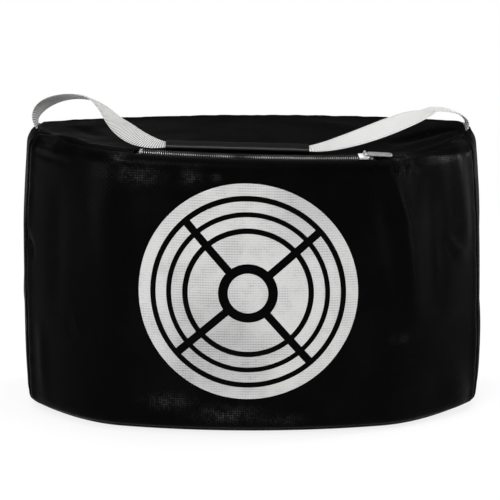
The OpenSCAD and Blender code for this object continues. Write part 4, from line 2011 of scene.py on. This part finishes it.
    def _pull(self) -> Piece:
        """The pull: a hub on the pin, and a tab with a sunk face, a ribbed hold and a hole.

        Returns:
            The pull, on its pin.
        """
        wide, thick = self.pull_w, self.pull_t
        start, hub_w, neck_len = 3.4 * MM, 3.8 * MM, 4.2 * MM
        hub = rod("hub", self.eye_r, hub_w, (0, 0, 0), "Y", 0.2 * MM, 28)
        bore = rod("bore", self.pin_r + 0.08 * MM, 8 * MM, (0, 0, 0), "Y", 0.05 * MM)
        neck = block("neck", (neck_len, hub_w, thick), (3.0 * MM, 0, 0), 0.3 * MM)
        long = self.pull_len - start - wide / 2
        tab = block("tab", (long, wide, thick), (start + long / 2, 0, 0), 0.32 * MM, 3)
        end = (self.pull_len - wide / 2, 0, 0)
        tip = rod("tip", wide / 2, thick, end, "Z", 0.32 * MM, 40)
        body = fuse("pull_tab", [tab, tip, neck, hub])
        carve(body, bore)
        carve(body, rod("hole", wide / 6, 6 * MM, end, "Z", 0.05 * MM, 24))
        middle = neck_len + long / 2
        sunk, rib = (long * 0.62, wide * 0.56, 0.5 * MM), (0.5 * MM, wide * 0.5, 0.3 * MM)
        for side in (-1, 1):
            place = (middle, 0, side * (thick / 2 + 0.03 * MM))
            carve(body, block("face", sunk, place, 0.12 * MM))
        ribs = []
        for k in range(7):
            for side in (-1, 1):
                place = (middle + (k - 3) * 1.5 * MM, 0, side * (thick / 2 - 0.2 * MM))
                ribs.append(block("rib", rib, place, 0.1 * MM, 1))
        body = fuse("pull_tab", [body, *ribs])
        pin = Matrix.Translation((self.pin[0], 0, self.pin[1]))
        frame = self.skin.zip_frame(self.slider_rest) @ pin @ Matrix.Rotation(self.droop, 4, "Y")
        return smooth(place_in(body, frame), 35)

    def build(self) -> None:
        """Makes the zip's pieces."""
        for row in Row:
            self.pieces[f"zip_tape_{row.word}"] = self._tape(row)
            self.pieces[f"zip_teeth_{row.word}"] = self._teeth(row)
        for side in Side:
            self.pieces[f"zip_stop_{side.word}"] = self._stop(side)
        self.pieces["zip_slider"] = self._slider()
        self.pieces["zip_pull"] = self._pull()

    def dress(self) -> None:
        """Gives the tapes their weave and the metal its plate."""
        dull = DarkMetal("zip_pull_nickel", 0.24, 0.8, 0.4, 0.6).make()
        looks = {
            "zip_tape": WovenTape().make(),
            "zip_teeth": DarkMetal("zip_teeth_nickel", 0.02, 0.9, 0.12, 0.7).make(),
            "zip_stop": dull,
            "zip_slider": DarkMetal().make(),
            "zip_pull": dull,
        }
        # the upper faces of the slider, the stops and the pull get a painted highlight over their
        # wear
        rubbed = {"zip_stop": (0.0, 0.1), "zip_slider": (0.25, 0.5), "zip_pull": (0.0, 0.1)}
        for node, piece in self.pieces.items():
            kind = "_".join(node.split("_")[:2])
            slot = "lining_tape" if kind == "zip_tape" else "zip_metal"
            body = node if node in ("zip_slider", "zip_pull") else "root"
            finish(piece, looks[kind], slot, body, node)
            if kind in rubbed:
                rub(piece, *rubbed[kind])


# ---- the handle ----


@dataclass
class CarryHandle(Assembly):
    """The webbing handle, its black sleeve and its two sewn ends.

    The loops' sizes come in pairs, left and right: the way in, forwards and up to the peak, and
    how far each end of the two arcs runs on straight, in millimetres; then, for the webbing's
    turn, the share at which it levels off, its two heights, its ease and its twist.
    """

    grip_left: float = -85 * MM
    grip_len: float = 142 * MM
    grip_front: float = 56 * MM
    grip_rise: float = 3.6 * MM
    wall: float = 1.2 * MM
    peaks: tuple[tuple[float, ...], tuple[float, ...]] = ((54, 22, 33), (34, 11, 20))
    runs: tuple[tuple[float, ...], tuple[float, ...]] = ((21, 46, 45, 49), (12, 21, 25, 33.5))
    turns: tuple[tuple[float, ...], tuple[float, ...]] = (
        (0.64, -0.44, 0.41, 1.3, 0.46),
        (0.56, -0.04, 0.37, 0.75, -0.21),
    )
    bend: tuple[float, float] = (225.5 * MM, 178 * MM)
    web_t: float = 1.6 * MM
    proud: float = 1 * MM
    tail_len: float = 16 * MM
    seam_y: float = 3.2 * MM
    steps: int = 120

    @property
    def sleeve(self) -> tuple[float, float]:
        """Width and height of the sleeve."""
        more = 2 * self.skin.hair + 2 * self.wall
        return self.skin.strap_w + more, self.skin.strap_t + more

    @property
    def grip_frame(self) -> Matrix:
        """Where x runs along the sleeve from its left end."""
        start = Matrix.Translation(self._grip_at(self.grip_left))
        return start @ Matrix.Rotation(self.skin.settle, 4, "Y")

    def _grip_at(self, x: float) -> Array:
        """Middle of the webbing inside the sleeve, at a place from side to side."""
        rise = self.skin.height + self.grip_rise - x * math.tan(self.skin.settle)
        return np.array([x, -self.grip_front, rise])

    def _seat(self, side: Side) -> tuple[Array, Array]:
        """Where the webbing leaves the seam, and its crosswise direction there.

        Args:
            side: which end of the handle.

        Returns:
            The place and the direction.
        """
        skin, seam_w = self.skin, float(self.skin.seam_level(0.0))
        low, high = skin.slit
        middle = (low + high) / 2

        def place(s: float) -> float:
            """Place round the bag of a share of the gusset."""
            return 1 + s if side is Side.RIGHT else 4 - s

        cross = skin.at(place(high), seam_w) - skin.at(place(low), seam_w)
        return skin.at(place(middle), seam_w, -self.proud), unit(cross)

    def _loop(self, side: Side) -> tuple[Array, Array, Array]:
        """Middles, directions and crosswise directions along a loop, from its seam to the grip.

        Args:
            side: which loop.

        Returns:
            The three, a row for each station.
        """
        skin, sign = self.skin, side.value
        pick = 0 if side is Side.LEFT else 1
        anchor, seat = self._seat(side)
        reach, run = (np.array(values[pick]) * MM for values in (self.peaks, self.runs))
        level, first, last, ease_in, twisted = self.turns[pick]
        grip_x = self.grip_left + pick * self.grip_len
        out = np.array([sign * math.cos(skin.seam_turn), 0, math.sin(skin.seam_turn)])
        up = unit(out - (out @ seat) * seat)
        root = anchor + skin.clear * up
        peak = anchor + np.array([-sign * reach[0], -reach[1], reach[2]])
        grip = self._grip_at(grip_x)
        way = unit(np.array([grip[0] - peak[0], grip[1] - peak[1], 0]))
        arcs = (
            (root, root + run[0] * up, peak - run[1] * way, peak),
            (peak, peak + run[2] * way, self._grip_at(grip_x + sign * run[3]), grip),
        )
        stations = []
        for half, arc in enumerate(arcs):
            t = np.arange(half, self.steps + 1)[:, None] / self.steps
            q = (half + t) / 2
            middle, way = bezier(arc, t)
            late = np.maximum(0, (q - level) / (1 - level)) ** ease_in
            tilt = np.where(
                q < level,
                first * np.sin(math.pi * q / level),
                last * np.sin(math.pi * late),
            )
            twist = twisted * np.sin(math.pi * np.minimum(1, 2 * q))
            across = np.concatenate([twist, np.ones_like(q), tilt], axis=1)
            across = across + (1 - q) ** 6 * (seat - np.array([0, 1, 0]))
            aside = (across * way).sum(-1, keepdims=True) * way
            stations.append((middle, way, unit(across - aside)))
        return tuple(np.concatenate(rows) for rows in zip(*stations))

    def _band(self, name: str, middles: Array, widths: Array, ups: Array) -> Piece:
        """Sweeps a flat band with round edges along its stations.

        Args:
            name: the piece's name.
            middles: its middle at each station.
            widths: its crosswise direction at each station.
            ups: the direction of its face at each station.

        Returns:
            The band.
        """
        wide = self.skin.strap_w
        across = np.linspace(-1, 1, 15)
        bend = 0.10 * MM * (1 - across**2)
        half = self.web_t / 2 * (1 - np.abs(across) ** 10 * 0.75)
        x = np.concatenate([across, across[::-1]]) * wide / 2
        z = np.concatenate([bend + half, (bend - half)[::-1]])
        length = run_of(middles)[:, None]
        aside = x + 0.25 * MM * waver(length[:, 0], 30 * MM, 4.2, 0.5)[:, None]
        points = middles[:, None] + aside[..., None] * widths[:, None] + z[:, None] * ups[:, None]
        cuts = np.stack(np.broadcast_arrays(length, x), axis=-1)
        n, m = cuts.shape[:2]
        faces = []
        for k in range(n - 1):
            for j in range(m):
                a, b = k * m + j, k * m + (j + 1) % m
                faces.append((a, a + m, b + m, b))
        faces.append(tuple(range(m)))
        faces.append(tuple(reversed(range((n - 1) * m, n * m))))
        return piece_from(name, points.reshape(-1, 3), faces, cuts.reshape(-1, 2))

    def _webbing(self) -> dict[Side, Piece]:
        """The webbing from seam to seam, as two halves that meet inside the sleeve.

        Returns:
            The two halves, by their side.
        """
        left, right = self._loop(Side.LEFT), self._loop(Side.RIGHT)
        inside = np.linspace(0, 1, 60)[1:-1, None]
        a, b = left[0][-1], right[0][-1]
        way, across = (np.tile(v, (len(inside), 1)) for v in (unit(b - a), [0.0, 1.0, 0.0]))
        straight = (a + inside * (b - a), way, across)
        back = (right[0][::-1], -right[1][::-1], right[2][::-1])
        middles, ways, widths = (np.concatenate(runs) for runs in zip(left, straight, back))
        ups = np.cross(ways, widths)
        cut = len(left[0]) + len(inside) // 2
        halves = {}
        for side, part in ((Side.LEFT, slice(0, cut + 1)), (Side.RIGHT, slice(cut, None))):
            name = f"handle_webbing_{side.word}"
            halves[side] = smooth(self._band(name, middles[part], widths[part], ups[part]), 60)
        return halves

    def _sleeve(self) -> Piece:
        """The sleeve: a flat padded tube with hemmed ends and a sewn edge along its front.

        Returns:
            The sleeve, round the middle of the webbing.
        """
        skin, (wide, tall) = self.skin, self.sleeve
        length = self.grip_len / math.cos(skin.settle)
        bore_y, bore_z = skin.strap_w / 2 + skin.hair, skin.strap_t / 2 + skin.hair
        seam_y = self.seam_y - wide / 2

        def soft(value: Array, power: float) -> Array:
            """A power of numbers that keeps their sign: below 1, it squares a round section."""
            return np.copysign(np.abs(value) ** power, value)

        x = np.array(both_ends(length, 0.5 * MM, 2 * MM)) * length
        end = np.minimum(x, length - x)
        hem = bell(end, 2.2 * MM, 1.6 * MM) + waver(x, 22 * MM, 1.7, 9.1)
        swell = 0.35 * MM * hem - 0.30 * MM * bell(end, 5.0 * MM, 0.8 * MM)
        angle = np.linspace(0, 2 * math.pi, 73)[:-1, None]
        c, s = np.cos(angle), np.sin(angle)
        y = soft(c, 0.42) * (wide / 2 + 0.4 * swell)
        z = soft(s, 0.62) * (tall / 2 + 0.2 * MM + swell)
        crease = 0.3 * MM * bell(y, seam_y, 0.7 * MM) * (np.abs(s) > 0.3)
        rows = (
            (x, y, z - np.copysign(crease, z)),
            (x, soft(c, 0.3) * bore_y, soft(s, 0.4) * bore_z),
            (x, angle * (wide + tall) / math.pi),
        )
        outer, inner, cut = (
            np.stack([np.broadcast_to(v, y.shape) for v in row], axis=-1)[::-1] for row in rows
        )
        # a thin painted highlight line along the top front edge of the sleeve
        worn = bell(outer[..., 1], 0.9 * MM - wide / 2, 0.9 * MM) * (outer[..., 2] > 0.5 * MM)
        sleeve = shell("grip_tube", outer, inner, cut, {"rubbed": worn}, ring=True)
        return smooth(place_in(sleeve, self.grip_frame), 50)

    def _stitches(self) -> Piece:
        """The row of stitches along the front edge of the sleeve.

        Returns:
            The row as one piece.
        """
        wide, tall = self.sleeve
        pitch = 3.1 * MM
        frames = []
        for k in range(int((self.grip_len - 12 * MM) / pitch)):
            place = (7 * MM + k * pitch, self.seam_y - wide / 2, tall / 2 + 0.12 * MM)
            tip = Matrix.Rotation(0.12 * math.sin(k * 2.3), 4, "Z")
            frames.append(self.grip_frame @ Matrix.Translation(place) @ tip)
        stitch = block("stitch", (2.3 * MM, 0.5 * MM, 0.4 * MM), (0, 0, 0), 0.14 * MM)
        return smooth(repeat("grip_stitching", stitch, frames), 45)

    def _tail(self, side: Side) -> Piece:
        """A sewn end: out of the slit in the seam, and down inside the gusset.

        Args:
            side: which end of the handle.

        Returns:
            The sewn end.
        """
        skin = self.skin
        low, high = skin.slit
        shares = np.linspace(low + 0.002, high - 0.002, 24)
        u = (1 + shares if side is Side.RIGHT else 4 - shares[::-1])[:, None]
        half = self.web_t / 2
        behind = skin.cloth + 2 * skin.hair + half
        # the band's middle comes in through the slit and turns down behind the gusset
        depth = np.concatenate([np.linspace(-self.proud, behind, 6), np.full(10, behind)])
        drop = np.concatenate([np.zeros(6), np.linspace(0, -self.tail_len, 11)[1:]])
        stations = zip(skin.seam_level(drop), depth)
        path = np.stack([skin.at(u[:, 0], float(w), t) for w, t in stations], axis=1)
        step = np.gradient(path, axis=1)
        cross = unit(path[-1, 0] - path[0, 0])
        normal = unit(np.cross(np.broadcast_to(cross, step.shape), step))
        outer, inner = path - normal * half, path + normal * half
        return smooth(shell(f"sewn_end_{side.word}", outer, inner, flat_cut(outer)), 50)

    def build(self) -> None:
        """Makes the handle's pieces."""
        for side, half in self._webbing().items():
            self.pieces[f"handle_strap_{side.word}"] = half
        self.pieces["handle_grip"] = self._sleeve()
        self.pieces["stitches"] = self._stitches()
        for side in Side:
            self.pieces[f"strap_end_{side.word}"] = self._tail(side)

    def dress(self) -> None:
        """Gives the handle its webbing, sleeve cloth and thread."""
        web = Webbing().make()
        # each half is held by the seam and turns into the swinging handle over its first bend
        for side in Side:
            half = self.pieces[f"handle_strap_{side.word}"]
            finish(half, web, "webbing", None, "handle_strap")
            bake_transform(half)
        grip = self.pieces["handle_grip"]
        finish(grip, GripCloth().make(), "grip_sleeve", "handle", "handle_grip")
        finish(self.pieces["stitches"], SewingThread().make(), "grip_sleeve", "handle")
        for side in Side:
            node = f"strap_end_{side.word}"
            finish(self.pieces[node], web, "webbing", "root", node)


# ---- seam bindings ----


@dataclass
class SeamBindings(Assembly):
    """The tapes that bind the seams inside the bag."""

    out: float = 4.9 * MM
    thick: float = 0.8 * MM
    width: float = 8 * MM
    gap: float = 0.012

    def _strip(self, name: str, u: Array, w: Array, ring: bool = False) -> Piece:
        """One binding tape, at the places u round the bag and the levels w.

        Args:
            name: the piece's name.
            u: the places round the bag.
            w: the levels.
            ring: True closes the tape on itself.

        Returns:
            The tape.
        """
        u, w = np.broadcast_arrays(u[:, None], w[None])
        outer = self.skin.at(u, w, self.out)
        inner = self.skin.at(u, w, self.out + self.thick)
        return shell(name, outer, inner, flat_cut(outer), ring=ring)

    def build(self) -> None:
        """Makes the bindings of the top, the foot and the four corners."""
        skin = self.skin
        spread = np.linspace(-self.width, self.width, 9)
        top = skin.seam_level(spread)
        left = skin.front_place(skin.zip_mid - skin.mouth_half) - self.gap
        right = skin.front_place(skin.zip_mid + skin.mouth_half) + self.gap
        low, high = skin.slit
        free = 2 * self.gap
        runs = (
            (right, 1 + low - free),
            (1 + high + free, 4 - high - free),
            (4 - low + free, 4 + left),
        )
        parts = [
            self._strip("run", np.linspace(a, b, max(12, int((b - a) * 90))), top) for a, b in runs
        ]
        self.pieces["top_seam_binding"] = join("binding_tape_top", parts)
        round_bag = np.linspace(0, 4, 361)[:-1]
        self.pieces["bottom_seam_binding"] = self._strip(
            "binding_tape_foot", round_bag, skin.foot_level(spread), ring=True
        )
        end = self.width + 1 * MM
        levels = np.linspace(float(skin.foot_level(end)), float(skin.seam_level(-end)), 60)
        names = ("front_left", "front_right", "back_right", "back_left")
        before, after = (0.115, 0.53, 0.115, 0.48), (0.53, 0.115, 0.48, 0.115)
        for corner, name in enumerate(names):
            run_in = np.linspace(-self.width / before[corner], 0, 5)
            run_on = np.linspace(0, self.width / after[corner], 5)[1:]
            u = corner + np.concatenate([run_in, run_on])
            self.pieces[f"binding_{name}"] = self._strip(f"binding_tape_{name}", u, levels)

    def dress(self) -> None:
        """Gives the bindings their tape."""
        look = WovenTape().make()
        for node, piece in self.pieces.items():
            smooth(piece, 45)
            finish(piece, look, "lining_tape", "root", node)


# ---- the filling ----


@dataclass
class Filling(Assembly):
    """Five folded towels that stand one on another inside the bag."""

    count: int = 5
    inset: float = 6.4 * MM
    top_space: float = 3 * MM
    layers: int = 5

    def _side(self, z: Array) -> Array:
        """Depth of the stack's side at a height.

        Args:
            z: the height.

        Returns:
            The depth.
        """
        skin = self.skin
        up, down = z - skin.height + skin.shoulder_r, skin.foot_r - z
        foot = skin.foot_r - np.sqrt(np.maximum(0, (skin.foot_r - self.inset) ** 2 - down**2))
        top = skin.shoulder_r - np.sqrt(np.maximum(0, (skin.shoulder_r - self.inset) ** 2 - up**2))
        return np.where(down > 0, foot, np.where(up > 0, top, self.inset))

    def _towel(self, k: int) -> Piece:
        """One folded towel: its layers show as soft rolls round its side.

        Args:
            k: which towel, from the lowest.

        Returns:
            The towel.
        """
        skin = self.skin
        low_all = skin.cloth + skin.clear
        tall = (skin.height - skin.cloth - self.top_space - low_all) / self.count
        low = low_all + k * tall + 0.2 * MM
        high = low_all + (k + 1) * tall - 0.5 * MM
        share = np.linspace(0, 1, 8 * self.layers + 1)
        z = low + (high - low) * share
        roll = 2.0 * MM * (1 - np.abs(np.sin(math.pi * self.layers * share)) ** 0.6)
        edge = np.minimum(z - low, high - z)
        radius = 9 * MM
        past = np.maximum(0, radius - edge)
        round_off = radius - np.sqrt(np.maximum(0, radius**2 - past**2))
        u = np.linspace(0, 4, 241)[:-1]
        grid_u, grid_z = np.meshgrid(u, z, indexing="ij")
        depth = self._side(grid_z) + (roll + round_off)[None]
        x, y = skin.outline(grid_u, grid_z, depth)
        side = skin.settled(x, y, grid_z)
        wrinkle = lump(side * np.array([1, 1, 3.0]), 24 * MM, 2.0 + k) * 0.5 * MM
        side = side + wrinkle[..., None] * np.array([1, 1, 0])
        mx, my = skin.middle

        def lid(column: Array, height: float) -> list[Array]:
            """Rings from a rim in to the middle of a lid.

            Args:
                column: the rim.
                height: the lid's height.

            Returns:
                The rings, the rim's first.
            """
            x, y = column[:, 0] - mx, column[:, 1] - my
            level = np.full(len(column), height)
            shares = (0.985, 0.95, 0.88, 0.75, 0.55, 0.3, 0.1)
            return [skin.settled(mx + s * x, my + s * y, level)[:, None] for s in shares]

        under, over = lid(side[:, 0], low), lid(side[:, -1], high)
        grid = np.concatenate([*reversed(under), side, *over], axis=1)
        n, m = grid.shape[:2]
        tips = skin.settled(np.array([mx] * 2), np.array([my] * 2), np.array([low, high]))
        points = np.concatenate([grid.reshape(-1, 3), tips])
        faces = []
        for i in range(n):
            a, b = i * m, ((i + 1) % n) * m
            faces += [(a + j, b + j, b + j + 1, a + j + 1) for j in range(m - 1)]
            faces.append((b, a, n * m))
            faces.append((a + m - 1, b + m - 1, n * m + 1))
        return smooth(piece_from(f"towel_{k + 1}", points, faces, points[:, :2]), 60)

    def build(self) -> None:
        """Makes the towels."""
        for k in range(self.count):
            self.pieces[f"folded_towel_{k + 1}"] = self._towel(k)

    def dress(self) -> None:
        """Gives the towels their two colours, in turns."""
        looks = {
            Pile.BLUE: Terry(Pile.BLUE, (0.47, 0.54, 0.60)).make(),
            Pile.CREAM: Terry(Pile.CREAM, (0.68, 0.64, 0.55)).make(),
        }
        for k, (node, piece) in enumerate(self.pieces.items()):
            pile = Pile.BLUE if k % 2 == 0 else Pile.CREAM
            finish(piece, looks[pile], pile.value, "root", node)


# ---- the studio ----


def stand(name: str, data: Any, place: Sequence[float], aim: Sequence[float]) -> Piece:
    """Stands a lamp or a camera at a place, turned to what it points at.

    Args:
        name: its name.
        data: the lamp or the camera.
        place: where it stands.
        aim: what it points at.

    Returns:
        The lamp or camera, standing.
    """
    made = bpy.data.objects.new(name, data)
    made.location = place
    made.rotation_euler = (Vector(aim) - Vector(place)).to_track_quat("-Z", "Y").to_euler()
    bpy.context.scene.collection.objects.link(made)
    return made


@dataclass(frozen=True)
class SoftBox:
    """A soft lamp: where it stands, what it points at, its width and height, and its watts."""

    name: str
    place: tuple[float, float, float]
    aim: tuple[float, float, float]
    size: tuple[float, float]
    power: float

    def build(self) -> None:
        """Adds the lamp."""
        data = bpy.data.lights.new(self.name, "AREA")
        data.shape, (data.size, data.size_y), data.energy = "RECTANGLE", self.size, self.power
        stand(self.name, data, self.place, self.aim)


@dataclass(frozen=True)
class Studio:
    """A white floor, soft lamps and the camera."""

    spot: tuple[float, float, float] = (0.0, -2.118, 0.7194)
    aim: tuple[float, float, float] = (-0.0016, 0.0104, 0.1626)
    lens: float = 152.86
    lamps: tuple[SoftBox, ...] = (
        SoftBox("key_box", (-0.9, -2.0, 2.2), (0, 0, 0.2), (1.2, 0.9), 29),
        SoftBox("top_box", (0.0, 0.3, 2.3), (0, 0, 0.1), (2.9, 1.5), 40),
        SoftBox("right_strip", (1.6, -0.85, 0.3), (0.1, 0, 0.2), (0.16, 0.4), 10),
        SoftBox("right_back_box", (1.75, 0.5, 0.62), (0.15, 0, 0.2), (0.25, 0.5), 19),
        SoftBox("left_box", (-1.6, -1.1, 0.5), (-0.1, 0, 0.18), (0.9, 0.6), 15),
    )

    def build(self) -> None:
        """Sets up the floor, the lamps, the room and the camera."""
        self._floor()
        for lamp in self.lamps:
            lamp.build()
        self._room()
        self._camera()

    def _floor(self) -> None:
        """Lays the floor just under the bag."""
        rest_cursor()
        bpy.ops.mesh.primitive_plane_add(size=14.0, location=(0, 0, -0.5 * MM))
        floor = bpy.context.object
        floor.name = floor.data.name = "studio_floor"
        settle(floor)
        floor.data.materials.append(StudioFloor().make())

    def _room(self) -> None:
        """White where the camera or low metal looks, dark for other gloss, else soft grey light."""
        world = bpy.data.worlds.new("studio_air")
        bpy.context.scene.world = world
        room = Shader(world)
        camera, glossy, through = room.rays()
        up = room.parts(room.node("ShaderNodeTexCoord", output="Generated"))[2]
        low = glossy * up.between(0.0, 0.12, 1.0, 0.0)
        tone = camera.larger(low).larger(through).tint(grey(0.42), grey(1.0))
        tone = (glossy - low).tint(tone, grey(0.11))
        room.close(room.node("ShaderNodeBackground", None, {"Color": tone}))

    def _camera(self) -> None:
        """Stands the camera in front, a little over the bag."""
        data = bpy.data.cameras.new("camera")
        data.lens, data.sensor_width = self.lens, 36.0
        data.clip_start, data.clip_end = 0.05, 60.0
        bpy.context.scene.camera = stand("camera", data, self.spot, self.aim)
        bpy.context.scene.view_settings.view_transform = "Standard"


# ---- folds ----

# start, end, width and height of each fold, in millimetres
FOLDS = (
    # soft ridges and hollows of the right half of the front
    ((136, -74, 266), (154, -75, 214), 9, 2.2),
    ((154, -75, 216), (163, -75, 118), 13, 3.2),
    ((130, -79, 250), (145, -85, 150), 13, -1.8),
    ((180, -53, 248), (186, -59, 125), 15, -3.2),
    ((209, -14, 268), (217, -24, 180), 15, 3.0),
    ((150, -67, 277), (222, -12, 277), 6, 3.8),
    ((152, -64, 279), (186, -42, 281), 3.5, 1.5),
    ((184, -44, 281), (220, -4, 282), 3.5, 1.7),
    ((196, -47, 188), (205, -41, 168), 4, -1.2),
    ((203, -41, 180), (217, -28, 166), 8, 1.2),
    ((214, -30, 193), (200, -44, 191), 5, -0.7),
    ((198, -51, 60), (212, -36, 24), 18, 1.7),
    # the right end, fuller at its foot
    ((236, 10, 110), (234, 10, 18), 55, 3.6),
    ((214, -36, 40), (206, -40, 8), 24, 2.2),
    # of its left half
    ((-158, -70, 252), (-150, -83, 150), 28, 3.4),
    ((-120, -88, 235), (-116, -92, 130), 16, -1.2),
    ((-198, -46, 235), (-196, -50, 120), 14, -1.4),
    ((-179, -67, 122), (-172, -73, 95), 4, 0.9),
    ((-186, -60, 112), (-181, -65, 88), 4, -0.6),
    ((-230, -8, 187), (-224, -18, 163), 5, -1.8),
    ((-216, -33, 92), (-214, -36, 24), 9, 1.2),
    # of the back and of the two gussets
    ((-208, 105, 266), (-150, 106, 226), 10, 1.7),
    ((-196, 105, 274), (-120, 106, 250), 8, -1.2),
    ((206, 105, 264), (160, 106, 232), 9, 1.5),
    ((60, 106, 262), (-10, 106, 216), 20, -1.2),
    ((110, 106, 150), (196, 106, 104), 17, 1.6),
    ((-64, 106, 66), (44, 106, 44), 15, 1.4),
    ((-204, 105, 26), (-158, 106, 84), 12, 1.5),
    ((204, 105, 22), (170, 106, 62), 10, -1.2),
    ((229, 62, 262), (236, 52, 176), 10, 1.6),
    ((231, 84, 250), (236, 74, 190), 8, -1.1),
    ((237, 84, 44), (237, 48, 100), 11, 1.5),
    ((-229, 64, 262), (-236, 50, 170), 11, 1.5),
    ((-236, 30, 120), (-237, 72, 84), 13, 1.4),
    ((-234, 86, 30), (-237, 60, 70), 9, -1.1),
    # of the top
    ((204, 42, 283), (143, -12, 281), 8, -3.2),
    ((208, 30, 282), (149, -36, 279), 8, 2.2),
    ((-178, 40, 286), (-157, -4, 286), 6, -1.9),
    ((-222, 10, 283), (-171, -32, 286), 6, 2.9),
    ((-214, -22, 270), (-188, -46, 268), 4, -1.6),
    ((-218, -22, 264), (-186, -50, 261), 3.5, 1.3),
    ((-223, 11, 279), (-208, -6, 281), 5, -2.2),
    ((-216, -4, 274), (-196, -29, 274), 3.5, 1.3),
    ((-218, -4, 268), (-198, -32, 268), 3.5, -1.0),
    ((120, 40, 287), (40, 66, 291), 16, 1.0),
    ((-60, 20, 286), (-20, 70, 290), 18, -0.9),
    # puckers that run out from the corners and from the ends of the zip
    ((226, 48, 281), (197, 6, 280), 4, -1.7),
    ((224, 38, 281), (198, -16, 277), 4, -1.5),
    ((225, 28, 279), (214, -8, 268), 4, -1.3),
    ((222, 34, 281), (203, 0, 279), 4, 1.2),
    ((137, -68, 277), (142, -76, 262), 3, -1.2),
    ((142, -66, 276), (147, -74, 262), 2.6, 1.0),
    ((148, -60, 277), (152, -71, 261), 3, -1.1),
    ((153, -57, 277), (157, -68, 262), 2.6, 0.9),
    ((158, -53, 277), (163, -64, 260), 3, -1.0),
    ((-139, -70, 279), (-119, -79, 273), 3, 1.1),
    ((-146, -66, 278), (-128, -77, 268), 3, -1.0),
    ((-150, -63, 276), (-140, -74, 262), 3, 0.8),
)

# middle, reach across and up, and strength of each gleam, a patch of painted glints
GLEAMS = (
    ((-110, -83, 263), (19, 8)),
    ((-59, -90, 263), (9, 8), 0.8),
    ((-35, -92, 262), (5, 3), 0.7),
    ((-132, -73, 278), (9, 4), 0.9),
    ((-81, -99, 34), (20, 7), 0.8),
    ((-24, -103, 22), (27, 8), 0.9),
    ((30, -102, 16), (20, 5), 0.45),
    ((150, -60, 272), (12, 7), 0.7),
    ((-205, -20, 280), (14, 5), 0.6),
    ((214, 6, 278), (10, 8), 0.5),
    ((150, -88, 96), (10, 5), 0.3),
)


def main() -> None:
    """Builds the studio and every piece of the bag, in order."""
    logging.basicConfig(level=logging.INFO, format="%(message)s")
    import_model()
    skin = BagSkin()
    folds = tuple(Fold(*row) for row in FOLDS)
    slack = Slack(skin, folds, tuple(Gleam(*row) for row in GLEAMS))
    Studio().build()
    for part in (
        ClothBag(skin, slack),
        RingTarget(skin, slack),
        TopZip(skin),
        CarryHandle(skin),
        SeamBindings(skin),
        Filling(skin),
    ):
        part.build()
        part.dress()
        log.info("%s is finished", type(part).__name__)


if __name__ == "__main__":
    main()
